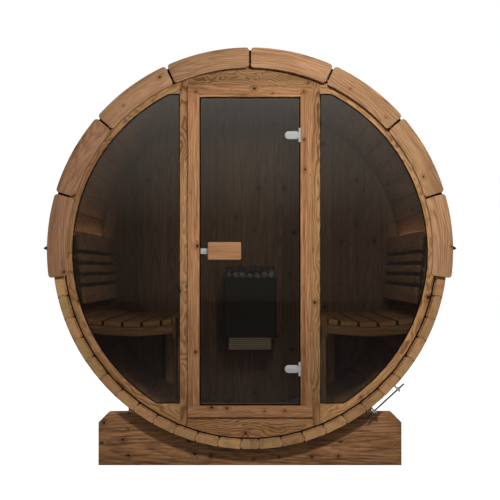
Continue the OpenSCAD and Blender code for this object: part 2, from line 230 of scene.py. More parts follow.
class Shader:
    """Short calls that add and link the nodes of one material, or of the world."""

    def __init__(self, name, kind="Material"):
        self.kind = kind
        owners = bpy.data.materials if kind == "Material" else bpy.data.worlds
        self.owner = owners.new(name)
        self.owner.use_nodes = True
        self.tree = self.owner.node_tree
        self.tree.nodes.clear()

    def node(self, kind, inputs=None, **settings):
        """Adds a node. An input's value is a constant or the output that feeds it."""
        made = self.tree.nodes.new(kind)
        for name, value in settings.items():
            setattr(made, name, value)
        for name, value in (inputs or {}).items():
            if isinstance(value, bpy.types.NodeSocket):
                self.tree.links.new(value, made.inputs[name])
            else:
                made.inputs[name].default_value = value
        return made

    def math(self, operation, a, b=0.0, c=0.0):
        return self.node("ShaderNodeMath", {0: a, 1: b, 2: c}, operation=operation).outputs[0]

    def vector(self, operation, a, b=(0, 0, 0), c=(0, 0, 0)):
        made = self.node("ShaderNodeVectorMath", {0: a, 1: b, 2: c}, operation=operation)
        return made.outputs["Value" if operation == "LENGTH" else "Vector"]

    def attribute(self, name):
        return self.node("ShaderNodeAttribute", attribute_name=name).outputs["Vector"]

    def place(self):
        """The point on the surface, in metres."""
        return self.node("ShaderNodeTexCoord").outputs["Object"]

    def parts(self, vector):
        return self.node("ShaderNodeSeparateXYZ", {0: vector}).outputs

    def noise(self, vector, scale=1.0, detail=2.0, roughness=0.5):
        return self.node("ShaderNodeTexNoise", {
            "Vector": vector, "Scale": scale, "Detail": detail, "Roughness": roughness})

    def spread(self, value, low, high, to_low=0.0, to_high=1.0):
        """Maps low..high to to_low..to_high smoothly, and holds it outside them."""
        return self.node("ShaderNodeMapRange", {
            "Value": value, "From Min": low, "From Max": high,
            "To Min": to_low, "To Max": to_high}, interpolation_type="SMOOTHSTEP").outputs[0]

    def ramp(self, value, stops):
        made = self.node("ShaderNodeValToRGB", {0: value})
        elements = made.color_ramp.elements
        while len(elements) < len(stops):
            elements.new(0.5)
        for element, (place, level) in zip(elements, stops):
            element.position = place
            element.color = colour(level) if hasattr(level, "__len__") else (level,) * 3 + (1,)
        return made.outputs["Color"]

    def mix(self, factor, a, b, blend="MIX"):
        made = self.node("ShaderNodeMix", {0: factor, 6: a, 7: b}, data_type="RGBA")
        made.blend_type = blend
        return made.outputs[2]

    def toned(self, base, tone, saturation=1.0):
        """The base colour with a board's or stone's own brightness and shift of hue."""
        return self.node("ShaderNodeHueSaturation", {
            "Hue": self.math("ADD", tone[1], 0.5), "Saturation": saturation,
            "Value": tone[0], "Fac": 1.0, "Color": base}).outputs[0]

    def bump(self, height, strength, distance):
        return self.node("ShaderNodeBump", {
            "Height": height, "Strength": strength, "Distance": distance}).outputs[0]

    def surface(self, shader):
        output = self.tree.nodes.new("ShaderNodeOutput" + self.kind)
        self.tree.links.new(shader, output.inputs["Surface"])
        return self.owner

    def principled(self, inputs):
        return self.surface(self.node("ShaderNodeBsdfPrincipled", inputs).outputs[0])


def colour(rgb):
    """Shader colour from 0..255 screen values."""
    def linear(v):
        v /= 255
        return v / 12.92 if v <= 0.04045 else ((v + 0.055) / 1.055) ** 2.4
    return tuple(linear(v) for v in rgb) + (1.0,)


# ---- Materials ----

def wood(name, light, dark, knot, ring=0.008, contrast=0.8, streaks=0.5, knot_r=0.0085,
         cell=(0.135, 0.058), wander=0.03, waves=(1.7, 6.0), veins=(2.6, 68),
         roughness=(0.5, 0.68)):
    """Sawn wood. The grain attribute is a point in the log, with X along its pith; the
    tone attribute holds a board's brightness, its shift of hue and its share of knots."""
    s = Shader(name)
    grain = s.attribute("grain")
    tone = s.parts(s.attribute("tone"))
    drift = s.noise(s.vector("MULTIPLY", grain, (waves[0], waves[1], waves[1])), 1.0, 2.0)
    bent = s.vector("MULTIPLY_ADD", drift.outputs["Color"], (0, wander, wander), grain)
    bent = s.vector("SUBTRACT", bent, (0, wander / 2, wander / 2))

    # Knots sit in cells along the board, and some cells have none.
    place = s.vector("MULTIPLY", grain, (1 / cell[0], 1 / cell[1], 0))
    cells = s.node("ShaderNodeTexVoronoi", {"Vector": place, "Scale": 1.0, "Randomness": 0.75},
                   voronoi_dimensions="2D")
    offset = s.vector("SUBTRACT", place, cells.outputs["Position"])
    away = s.vector("LENGTH", s.vector("MULTIPLY", offset, (cell[0] * 0.8, cell[1], 0)))
    ragged = s.noise(s.vector("MULTIPLY", grain, (150, 150, 40)), 1.0, 1.0).outputs[0]
    away = s.math("MULTIPLY_ADD", ragged, 0.005, away)
    chance = s.parts(cells.outputs["Color"])
    has_knot = s.math("LESS_THAN", chance[0], tone[2])
    size = s.math("MULTIPLY_ADD", chance[1], 0.9, 0.45)
    scaled = s.math("DIVIDE", away, size)
    core = s.math("MULTIPLY", s.spread(scaled, knot_r * 0.75, knot_r * 1.15, 1, 0), has_knot)
    halo = s.math("MULTIPLY", s.spread(scaled, knot_r, knot_r * 3.4, 1, 0), has_knot)

    # Growth rings around the pith, pushed aside by the knots.
    radius = s.vector("LENGTH", s.vector("MULTIPLY", bent, (0, 1, 1)))
    phase = s.math("MULTIPLY_ADD", halo, 0.9, s.math("DIVIDE", radius, ring))
    fine = s.noise(s.vector("MULTIPLY", grain, (7, 70, 70)), 1.0, 2.0).outputs[0]
    phase = s.math("MULTIPLY_ADD", fine, 0.9, phase)
    late = s.ramp(s.math("FRACT", phase), [(0, 0), (0.35, 0.12), (0.74, 1), (0.86, 0.9), (1, 0)])
    blotch = s.noise(s.vector("MULTIPLY", grain, (1.4, 15, 15)), 1.0, 2.0).outputs[0]
    vein = s.vector("MULTIPLY", grain, (veins[0], veins[1], veins[1]))
    vein = s.noise(vein, 1.0, 4.0, 0.72).outputs[0]
    fibre = s.noise(s.vector("MULTIPLY", grain, (8, 260, 260)), 1.0, 2.0, 0.6).outputs[0]
    strength = s.spread(blotch, 0.3, 0.7, contrast * 0.5, contrast)
    base = s.mix(s.math("MULTIPLY", late, strength), colour(light), colour(dark))
    base = s.mix(s.spread(vein, 0.42, 0.68, 0, streaks), base, colour(dark))
    base = s.mix(s.spread(vein, 0.2, 0.42, streaks * 0.5, 0), base, colour(light))
    base = s.mix(s.spread(fibre, 0.4, 0.75, 0, 0.3), base, colour(dark))
    base = s.mix(s.spread(blotch, 0.5, 0.75, 0, 0.3), base, colour(dark))
    base = s.mix(s.math("MULTIPLY", halo, 0.45), base, colour(dark))
    base = s.mix(s.math("MULTIPLY", core, 0.95), base, colour(knot))
    base = s.toned(base, tone)
    height = s.math("MULTIPLY_ADD", fibre, 0.6, s.math("MULTIPLY", late, -0.4))
    return s.principled({
        "Base Color": base,
        "Roughness": s.spread(late, 0, 1, roughness[1], roughness[0]),
        "Specular IOR Level": 0.32,
        "Normal": s.bump(height, 0.35, 0.0006)})


def end_grain(name, light, dark):
    """Sawn ends: growth rings as arcs, fine rays and pores."""
    s = Shader(name)
    grain = s.attribute("grain")
    tone = s.parts(s.attribute("tone"))
    across = s.vector("MULTIPLY", grain, (0.05, 1, 1))
    drift = s.noise(s.vector("MULTIPLY", across, (0, 40, 40)), 1.0, 2.0).outputs["Color"]
    bent = s.vector("MULTIPLY_ADD", drift, (0, 0.004, 0.004), across)
    radius = s.vector("LENGTH", s.vector("MULTIPLY", bent, (0, 1, 1)))
    phase = s.math("DIVIDE", radius, 0.0052)
    late = s.ramp(s.math("FRACT", phase), [(0, 0), (0.4, 0.1), (0.8, 1), (0.9, 0.8), (1, 0)])
    pores = s.noise(s.vector("MULTIPLY", grain, (1, 900, 900)), 1.0, 1.0).outputs[0]
    patch = s.noise(s.vector("MULTIPLY", grain, (1, 26, 26)), 1.0, 2.0).outputs[0]
    base = s.mix(s.math("MULTIPLY", late, 0.62), colour(light), colour(dark))
    base = s.mix(s.spread(pores, 0.5, 0.75, 0, 0.35), base, colour(dark))
    base = s.mix(s.spread(patch, 0.4, 0.75, 0, 0.4), base, colour(dark))
    base = s.toned(base, tone)
    height = s.math("MULTIPLY_ADD", late, 0.5, pores)
    return s.principled({
        "Base Color": base,
        "Roughness": s.spread(pores, 0.3, 0.7, 0.7, 0.85),
        "Specular IOR Level": 0.2,
        "Normal": s.bump(height, 0.5, 0.0007)})


def tinted_glass(name, tint):
    """Dark safety glass. Its two faces each take half of the tint."""
    s = Shader(name)
    facing = s.node("ShaderNodeLayerWeight", {"Blend": 0.5}).outputs["Facing"]
    mirror = s.math("MULTIPLY_ADD", s.math("POWER", facing, 5.0), 0.9, 0.07)
    where = s.place()
    smear = s.noise(s.vector("MULTIPLY", where, (9, 9, 5)), 1.0, 3.0).outputs[0]
    clear = s.node("ShaderNodeBsdfTransparent", {"Color": tint}).outputs[0]
    gloss = s.node("ShaderNodeBsdfGlossy", {
        "Color": (1, 1, 1, 1), "Roughness": s.spread(smear, 0.3, 0.7, 0.01, 0.035)}).outputs[0]
    both = s.node("ShaderNodeMixShader", {0: mirror, 1: clear, 2: gloss}).outputs[0]
    return s.surface(both)


def metal(name, tint, roughness, streaks=(40, 40, 900), amount=0.12, metallic=1.0):
    """Steel with fine brushing, whose direction is the axis with the smallest streak scale."""
    s = Shader(name)
    where = s.place()
    brushed = s.noise(s.vector("MULTIPLY", where, streaks), 1.0, 2.0).outputs[0]
    cloud = s.noise(where, 14.0, 2.0).outputs[0]
    shade = tuple(v * 0.72 for v in tint)
    base = s.mix(s.spread(brushed, 0.3, 0.7, 0, 0.5), colour(tint), colour(shade))
    level = s.math("MULTIPLY_ADD", s.math("SUBTRACT", brushed, 0.5), amount * 2, roughness)
    level = s.math("MULTIPLY_ADD", s.math("SUBTRACT", cloud, 0.5), amount, level)
    return s.principled({
        "Base Color": base, "Metallic": metallic, "Roughness": level,
        "Normal": s.bump(brushed, 0.15, 0.0002)})


def painted(name, tint, roughness, speck=700.0, depth=0.0003, spread=0.25):
    """Powder coat, rubber or felt: an even colour with a fine texture."""
    s = Shader(name)
    where = s.place()
    specks = s.noise(where, speck, 2.0).outputs[0]
    cloud = s.noise(where, 11.0, 3.0).outputs[0]
    shade = tuple(v * (1 - spread) for v in tint)
    base = s.mix(s.spread(specks, 0.35, 0.65), colour(tint), colour(shade))
    base = s.mix(s.spread(cloud, 0.4, 0.7, 0, 0.5), base, colour(shade))
    return s.principled({
        "Base Color": base,
        "Roughness": s.spread(cloud, 0.3, 0.7, roughness - 0.06, roughness + 0.06),
        "Specular IOR Level": 0.35,
        "Normal": s.bump(specks, 0.4, depth)})


def granules(name):
    """Bitumen shingles covered with crushed slate; each tab has its own tone."""
    s = Shader(name)
    where = s.place()
    tone = s.parts(s.attribute("tone"))
    grit = s.node("ShaderNodeTexVoronoi", {"Vector": where, "Scale": 520.0, "Randomness": 1.0})
    level = s.parts(grit.outputs["Color"])[0]
    base = s.ramp(level, [(0, (24, 25, 27)), (0.5, (38, 39, 41)), (0.85, (60, 60, 60)),
                          (1, (104, 102, 98))])
    cloud = s.noise(where, 7.0, 3.0).outputs[0]
    base = s.mix(s.spread(cloud, 0.4, 0.7, 0, 0.4), base, colour((22, 22, 24)))
    base = s.toned(base, tone)
    return s.principled({
        "Base Color": base,
        "Roughness": s.spread(level, 0, 1, 0.95, 0.7),
        "Specular IOR Level": 0.25,
        "Normal": s.bump(grit.outputs["Distance"], 0.7, 0.0012)})


def stone(name):
    """Olivine stones: grey to pinkish, each with its own tone, which also holds painted light and
    shade, with darker crystals.
    """
    s = Shader(name)
    where = s.place()
    tone = s.parts(s.attribute("tone"))
    crystals = s.node("ShaderNodeTexVoronoi", {"Vector": where, "Scale": 260.0})
    level = s.parts(crystals.outputs["Color"])[0]
    base = s.ramp(level, [(0, (78, 74, 70)), (0.5, (122, 113, 106)), (1, (158, 146, 138))])
    cloud = s.noise(where, 45.0, 4.0).outputs[0]
    base = s.mix(s.spread(cloud, 0.4, 0.65, 0, 0.6), base, colour((92, 80, 74)))
    base = s.toned(base, tone, 0.8)
    return s.principled({
        "Base Color": base,
        "Roughness": s.spread(level, 0, 1, 0.9, 0.65),
        "Specular IOR Level": 0.3,
        "Normal": s.bump(cloud, 0.6, 0.002)})


def glowing(name):
    """The milky cover of a light strip, a little uneven between its lamps."""
    s = Shader(name)
    where = s.place()
    wave = s.noise(s.vector("MULTIPLY", where, (0, 60, 0)), 1.0, 0.0).outputs[0]
    return s.principled({
        "Base Color": (0.85, 0.76, 0.6, 1), "Roughness": 0.4,
        "Emission Color": (1.0, 0.76, 0.5, 1),
        "Emission Strength": s.spread(wave, 0.2, 0.8, 9.0, 12.0)})


KNOT = (54, 29, 17)
STAVE_WOOD = wood("stave_wood", (188, 142, 98), (112, 74, 44), KNOT)
STAVE_END = end_grain("stave_end_grain", (214, 168, 118), (120, 78, 46))
WALL_WOOD = wood("end_wall_wood", (198, 152, 106), (102, 66, 38), KNOT, ring=0.0125,
                 contrast=0.9, streaks=0.3, wander=0.11, waves=(4.5, 8.0))
HEADER_WOOD = wood("header_wood", (206, 160, 114), (100, 64, 36), KNOT, ring=0.0105,
                   contrast=0.8, streaks=0.3, wander=0.15, waves=(6.5, 4.5))
FRAME_WOOD = wood("frame_wood", (204, 152, 108), (116, 72, 44), (44, 22, 14), ring=0.01,
                  contrast=0.6, streaks=0.55, knot_r=0.0075, wander=0.05, waves=(3.0, 8.0))
FASCIA_WOOD = wood("fascia_wood", (202, 158, 118), (122, 78, 50), (62, 32, 20), ring=0.0085,
                   contrast=0.55, streaks=0.4, knot_r=0.0095, cell=(0.24, 0.09), wander=0.07)
CRADLE_WOOD = wood("cradle_wood", (188, 138, 96), (86, 53, 32), (30, 16, 10), ring=0.012,
                   contrast=0.6, streaks=0.85, wander=0.045, veins=(1.6, 95), knot_r=0.0088,
                   cell=(0.15, 0.08))
CRADLE_END = end_grain("cradle_end_grain", (150, 112, 78), (98, 64, 42))
BENCH_WOOD = wood("bench_wood", (194, 151, 110), (126, 86, 56), KNOT, contrast=0.6)
BENCH_END = end_grain("bench_end_grain", (236, 178, 122), (158, 106, 66))
# Painted shade: the slats' long sides are dark so that the gaps between them look shaded.
BENCH_GAP_SHADE = wood("bench_gap_painted_shade", (74, 54, 38), (44, 30, 20), (24, 14, 9), contrast=0.6)
LINING_WOOD = wood("lining_wood", (158, 126, 98), (97, 70, 51), (40, 23, 16),
                   contrast=0.65, streaks=0.4, knot_r=0.0105, cell=(0.26, 0.07))
HANDLE_WOOD = wood("handle_wood", (187, 141, 101), (144, 99, 68), KNOT, contrast=0.8,
                   ring=0.008, streaks=0.7)
GLASS_TINT = (0.645, 0.64, 0.63, 1)
GLASS = tinted_glass("tinted_glass", GLASS_TINT)
STAINLESS = metal("stainless_steel", (230, 232, 235), 0.4, metallic=0.45)
BAND_STEEL = metal("band_steel", (96, 98, 102), 0.45, (60, 900, 60), 0.2)
ROD_STEEL = metal("rod_steel", (70, 71, 74), 0.42, (300, 300, 300), 0.2, 0.6)
ZINC = metal("zinc_plated_steel", (206, 209, 214), 0.4, (120, 120, 120), 0.18, 0.4)
SHINGLE = granules("roof_shingle")
FELT = painted("roof_felt", (30, 30, 31), 0.9, 420.0, 0.0008)
DRIP = painted("drip_edge", (26, 26, 27), 0.5)
# Black rubber for the glazing and the door seal; the same black paints shade into the stave joints
# and the wall joints.
RUBBER_AND_SHADE = painted("rubber_and_painted_shade", (16, 16, 16), 0.6)
CASING = painted("heater_casing", (60, 60, 52), 0.5, 900.0, 0.0002)
# Dark steel for the bracket, the seams and the inner faces; the same dark paints shade into the
# vent slots and louvres.
HEATER_DARK_AND_SHADE = painted("heater_dark_and_painted_shade", (20, 19, 18), 0.7)
INLET_STEEL = metal("heater_steel", (214, 206, 180), 0.45, (30, 30, 1500), 0.15, 0.15)
STONE = stone("heater_stone")
PROFILE = metal("light_profile", (176, 176, 178), 0.4, (60, 4, 900), 0.1)
GLOW = glowing("light_cover")


# ---- Solids in bmesh ----

def loft(rings, closed=False):
    """A skin over rings of points, with a face at each end. A closed one joins its last
    ring to its first instead."""
    solid = bmesh.new()
    rings = [[solid.verts.new(point) for point in ring] for ring in rings]
    if not closed:
        solid.faces.new(rings[0])
        solid.faces.new(reversed(rings[-1]))
    for a, b in zip(rings, rings[1:] + rings[:1] if closed else rings[1:]):
        for i in range(len(a)):
            j = (i + 1) % len(a)
            solid.faces.new((a[i], b[i], b[j], a[j]))
    bmesh.ops.recalc_face_normals(solid, faces=solid.faces)
    return solid


def prism(outline, low, high, axis="y"):
    """An outline in the other two axes, stretched along Y or Z."""
    if axis == "z":
        return loft([[(x, y, z) for x, y in outline] for z in (low, high)])
    return loft([[(x, y, z) for x, z in outline] for y in (low, high)])


def soften(solid, width, segments=2, angle=32, chosen=None):
    """Rounds the edges that are sharper than angle, or of those the chosen ones."""
    limit = math.radians(angle)
    edges = [e for e in solid.edges
             if e.is_manifold and e.calc_face_angle(0) > limit and (chosen is None or chosen(e))]
    bmesh.ops.bevel(solid, geom=edges, offset=width, offset_type="OFFSET", segments=segments,
                    profile=0.5, affect="EDGES", clamp_overlap=True)
    return solid


def block(x, y, z, width=1.5, segments=2):
    """A squared timber or plate with softened edges."""
    corners = [(x[0], z[0]), (x[1], z[0]), (x[1], z[1]), (x[0], z[1])]
    return soften(prism(corners, y[0], y[1]), width, segments)


def arc(radius, start, end, steps, middle=(0, 0)):
    """Points on an arc in degrees, counterclockwise from +X."""
    angles = [math.radians(start + (end - start) * i / steps) for i in range(steps + 1)]
    return [(middle[0] + radius * math.cos(a), middle[1] + radius * math.sin(a)) for a in angles]


def lathe(profile, steps, middle, axis):
    """A closed turned solid. The profile is radius and height, from one end to the other."""
    turn = Vector((0, 0, 1)).rotation_difference(Vector(axis)).to_matrix()
    around = [2 * math.pi * i / steps for i in range(steps)]
    rings = []
    for r, height in profile:
        ring = [Vector((r * math.cos(a), r * math.sin(a), height)) for a in around]
        rings.append([Vector(middle) + turn @ point for point in ring])
    return loft(rings)


def band_between(outer, inner, low, high):
    """A closed strip between two outlines of equal length in X and Z."""
    corners = ((outer, low), (inner, low), (inner, high), (outer, high))
    return loft([[(x, y, z) for x, z in outline] for outline, y in corners], closed=True)


def moved(solid, matrix):
    """The solid placed by a matrix; a mirrored one is turned right side out."""
    bmesh.ops.transform(solid, matrix=matrix, verts=solid.verts)
    if matrix.determinant() < 0:
        bmesh.ops.reverse_faces(solid, faces=solid.faces)
    return solid


# ---- Grain directions: a point in millimetres to a point in the log ----

def straight(order):
    """Grain along the first of three axis letters, with the board's face across the second."""
    picks = ["xyz".index(letter) for letter in order]
    return lambda p: (p[picks[0]], p[picks[1]], p[picks[2]])


def round_axis(centre_z, radius):
    """Grain that follows a curved board around a centre on the Z axis."""
    def place(p):
        angle = math.atan2(p[0], p[2] - centre_z)
        return angle * radius, math.hypot(p[0], p[2] - centre_z) - radius, p[1]
    return place


def along_stave(angle, radius):
    """Grain along Y in a stave at an angle in degrees, its face across the tangent."""
    c, s = math.cos(math.radians(angle)), math.sin(math.radians(angle))

    def place(p):
        x, z = p[0], p[2] - AXIS_Z
        return p[1], z * c - x * s, x * c + z * s - radius
    return place


class Piece:
    """Solids gathered into one object that stands for CAD nodes."""

    def __init__(self, name, slot, materials, nodes=(), body="cabin"):
        self.name = name
        self.slot = slot
        self.materials = materials
        self.nodes = nodes
        self.body = body
        self.random = random.Random(name)
        self.points = []
        self.faces = []
        self.face_materials = []
        self.grain = []
        self.tone = []

    def add(self, solid, material=0, grain=straight("xyz"), tone=(1, 0, 0), shift=(0, 0, 0)):
        """Takes a solid in. material is a slot number, or a function of a face."""
        first = len(self.points)
        solid.verts.index_update()
        for vert in solid.verts:
            self.points.append(tuple(v * MM for v in vert.co))
            self.grain.append(tuple((g + s) * MM for g, s in zip(grain(vert.co), shift)))
            self.tone.append(tone)
        for face in solid.faces:
            self.faces.append([first + v.index for v in face.verts])
            self.face_materials.append(material(face) if callable(material) else material)
        solid.free()

    def add_board(self, solid, grain, width=90, material=0, value=1.0, spread=0.08, hue=0.004,
                  warm=0.0, knots=0.4, depth=(16, 55), pith=None):
        """Takes in a board sawn from its own place in a log, with its own tone. It runs
        at a slight angle to the pith, so that its rings show as pointed arches."""
        pick = self.random
        along = pick.uniform(0, 9000)
        across = pick.uniform(-0.5, 0.5) * width
        deep = pick.choice((-1, 1)) * pick.uniform(*depth)
        if pith is not None:
            across, deep = pith
        lean = pick.choice((-1, 1)) * pick.uniform(0.02, 0.07)
        value *= 1 + pick.uniform(-spread, spread)
        tone = (value, pick.uniform(-hue, hue) - warm, knots)
        centre = [sum(v.co[i] for v in solid.verts) / len(solid.verts) for i in range(3)]
        middle = grain(Vector(centre))

        def leaning(p):
            g = grain(p)
            return g[0], g[1], g[2] + lean * (g[0] - middle[0])
        self.add(solid, material, leaning, tone, (along, across - middle[1], deep - middle[2]))

    def finish(self, sharp=32):
        mesh = bpy.data.meshes.new(self.name)
        mesh.from_pydata(self.points, [], self.faces)
        for name, values in (("grain", self.grain), ("tone", self.tone)):
            layer = mesh.attributes.new(name, "FLOAT_VECTOR", "POINT")
            layer.data.foreach_set("vector", [v for value in values for v in value])
        for material in self.materials:
            mesh.materials.append(material)
        mesh.polygons.foreach_set("material_index", self.face_materials)
        mesh.shade_smooth()
        mesh.set_sharp_from_angle(angle=math.radians(sharp))
        mesh.update()
        made = bpy.data.objects.new(self.name, mesh)
        bpy.context.scene.collection.objects.link(made)
        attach(made, self.body)
        if self.nodes:
            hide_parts(*self.nodes)
        return made


def end_faces(axis, main=0, ends=1):
    """Gives faces square to an axis the end grain's material."""
    return lambda face: ends if abs(face.normal["xyz".index(axis)]) > 0.9 else main


# ---- Barrel ----

def around_barrel(points, angle):
    """Points given across and out from the axis, turned to an angle in degrees."""
    c, s = math.cos(math.radians(angle)), math.sin(math.radians(angle))
    return [(v * c - u * s, AXIS_Z + v * s + u * c) for u, v in points]


def stave_outline(angle, pitch, low_bulge, high_bulge, half=None):
    """One stave in section: flat faces, chamfered corners, a bead along one edge and a
    cove along the other. half keeps only the part on one side of its middle."""
    inner, outer = STAVE_R
    tangent = math.tan(math.radians(pitch / 2))
    gap = STAVE_GAP
    steps = 8

    def edge(side, bulge):
        points = []
        for i in range(steps + 1):
            v = inner + STAVE_NOTCH + (outer - inner - 2 * STAVE_NOTCH) * i / steps
            bow = bulge * (1 - (2 * i / steps - 1) ** 2)
            points.append((side * (v * tangent - gap) + bow, v))
        return points

    low = edge(-1, low_bulge)
    high = edge(1, high_bulge)
    flat_in = inner * tangent - STAVE_NOTCH
    flat_out = outer * tangent - STAVE_NOTCH
    outline = [(-flat_in, inner), *low, (-flat_out, outer), (flat_out, outer),
               *reversed(high), (flat_in, inner)]
    cut = SPLIT_NOTCH
    if half == "low":
        outline = [(-flat_in, inner), *low, (-flat_out, outer), (-cut, outer),
                   (-0.02, outer - cut), (-0.02, inner + cut), (-cut, inner)]
    if half == "high":
        outline = [(cut, inner), (0.02, inner + cut), (0.02, outer - cut), (cut, outer),
                   (flat_out, outer), *reversed(high), (flat_in, inner)]
    return around_barrel(outline, angle)


def add_joint_shade_cord(piece, angle):
    """A black cord at the bottom of the groove between two staves: painted shade that makes the
    notch look dark.
    """
    foot = STAVE_R[1] - STAVE_NOTCH
    wide, shoulder = 0.66 * STAVE_NOTCH, foot + 0.68 * STAVE_NOTCH
    corners = ((0, foot + 0.2), (-wide, shoulder), (0, foot + 0.8 * STAVE_NOTCH), (wide, shoulder))
    piece.add(prism(around_barrel(corners, angle), -HALF_LEN + 1, HALF_LEN - 1), 2)


def add_stave(piece, angle, pitch, bulges, half=None, **look):
    """One stave with its end edges broken, its grain running along it."""
    solid = prism(stave_outline(angle, pitch, *bulges, half), -HALF_LEN, HALF_LEN)
    def on_end(edge):
        return all(abs(abs(v.co.y) - HALF_LEN) < 0.01 for v in edge.verts)
    soften(solid, 1.0, 1, 0, on_end)
    piece.add_board(solid, along_stave(angle, sum(STAVE_R) / 2), 110, end_faces("y"), **look)


def make_stave_group(name, sides, first, last):
    """The staves of one node. The narrow ones at the bottom and top are their own case:
    the bottom one is split, so that each half has its own tone."""
    piece = Piece(name + "_boards", "stave_wood", [STAVE_WOOD, STAVE_END, RUBBER_AND_SHADE], [name])
    look = {"spread": 0.15, "hue": 0.007}
    if name == "staves_bottom":
        for half, value in (("low", 1.04), ("high", 0.86)):
            add_stave(piece, -90, NARROW_PITCH, (-JOINT_BULGE, JOINT_BULGE), half,
                      value=value, hue=0)
    if name == "staves_top":
        add_stave(piece, 90, NARROW_PITCH, (JOINT_BULGE, -JOINT_BULGE), **look)
    for side in sides:
        bulge = side * JOINT_BULGE
        value = 1.12 if side < 0 else 1.0
        for i in range(first, last + 1):
            angle = -90 + side * (NARROW_PITCH / 2 + STAVE_PITCH * (i - 0.5))
            add_stave(piece, angle, STAVE_PITCH, (bulge, bulge), value=value, **look)
            # A black cord in each joint notch paints its shade.
            add_joint_shade_cord(piece, angle - side * STAVE_PITCH / 2)
    piece.finish(40)


def make_staves():
    """Groups of staves, which are numbered from the bottom up on both sides."""
    for group, (first, last) in STAVE_GROUPS.items():
        if group in ("staves_bottom", "staves_top"):
            make_stave_group(group, (1, -1), first, last)
        else:
            for name, side, _ in SIDES:
                make_stave_group(f"{group}_{name}", (side,), first, last)


def make_cradles():
    """The two saddle boards that the barrel lies in."""
    w, (cx, cz) = CRADLE_HALF_W, CRADLE_CHAMFER
    half = math.degrees(math.asin((AXIS_Z - CRADLE_H) / SADDLE_R))
    saddle = arc(SADDLE_R, half - 180, -half, 72, (0, AXIS_Z))
    outline = [(-w, 0), (w, 0), (w, CRADLE_H - cz), (w - cx, CRADLE_H),
               *reversed(saddle), (cx - w, CRADLE_H), (-w, CRADLE_H - cz)]
    for end, place in ENDS:
        piece = Piece(f"cradle_{end}_board", "cradle_wood", [CRADLE_WOOD, CRADLE_END],
                      [f"cradle_{end}"])
        solid = moved(soften(prism(outline, *CRADLE_Y), 2.5), place)
        piece.add_board(solid, straight("xzy"), 200, end_faces("x"), value=1.12, spread=0,
                        hue=0, knots=0.75, pith=(60, -70))
        piece.finish()


def make_bands():
    """The two steel bands, and their threaded tensioners at the lower right."""
    start, stop = TENSIONER_ANGLE + BAND_GAP, TENSIONER_ANGLE + 360 - BAND_GAP
    outline = arc(BAND_R + BAND_T, start, stop, 220, (0, AXIS_Z))
    outline += reversed(arc(BAND_R, start, stop, 220, (0, AXIS_Z)))
    for end, place in ENDS:
        piece = Piece(f"band_{end}_strap", "band_steel", [BAND_STEEL], [f"band_{end}"])
        solid = prism(outline, -BAND_Y - BAND_W / 2, -BAND_Y + BAND_W / 2)
        piece.add(moved(solid, place))
        piece.finish()
    make_tensioners()


def threaded_rod(radius, low, high, pitch=2.0, depth=0.35, steps=20):
    """A rod with a rolled thread, as a spiral of crests and roots."""
    count = int((high - low) / (pitch / 2))
    rings = []
    for i in range(count + 1):
        ring = []
        for k in range(steps):
            a = 2 * math.pi * k / steps
            r = radius - depth + depth * math.cos(2 * math.pi * (i / 2 - k / steps))
            ring.append((r * math.cos(a), r * math.sin(a), low + (high - low) * i / count))
        rings.append(ring)
    return loft(rings)


def hex_nut(middle, height, across=18):
    """A nut with its axis along Z."""
    corner = across / 2 / math.cos(math.pi / 6)
    outline = [(middle[0] + corner * math.cos(math.radians(60 * i + 30)),
                middle[1] + corner * math.sin(math.radians(60 * i + 30))) for i in range(6)]
    return soften(prism(outline, middle[2] - height / 2, middle[2] + height / 2, "z"), 0.8, 2)


def make_tensioners():
    """In the tensioner's own frame X points away from the barrel and Z runs around it."""
    piece = Piece("band_tensioner_sets", "band_steel", [ZINC, ROD_STEEL], ["band_tensioners"])
    turn = Matrix.Rotation(math.radians(-TENSIONER_ANGLE), 4, "Y")
    front = Matrix.Translation((0, -BAND_Y, AXIS_Z)) @ turn
    for place in (front, MIRROR_Y @ front):
        rod = threaded_rod(ROD_R, *ROD_ENDS)
        piece.add(moved(rod, place @ Matrix.Translation((ROD_X, 0, 0))), 1)
        for side in (-1, 1):
            z = side * EAR_Z
            ear = block((BAND_R - 1, EAR_TOP), (-BAND_W / 2, BAND_W / 2),
                        (z - EAR_T / 2, z + EAR_T / 2), 1.2)
            piece.add(moved(ear, place), 0)
            nut = hex_nut((ROD_X, 0, z + side * (EAR_T / 2 + 4.1)), 8)
            piece.add(moved(nut, place), 0)
            washer = lathe([(9.6, -0.8), (10.2, -0.5), (10.2, 0.5), (9.6, 0.8)], 28,
                           (ROD_X, 0, z + side * (EAR_T / 2 + 0.8)), (0, 0, 1))
            piece.add(moved(washer, place), 0)
    piece.finish()


# ---- Front wall ----

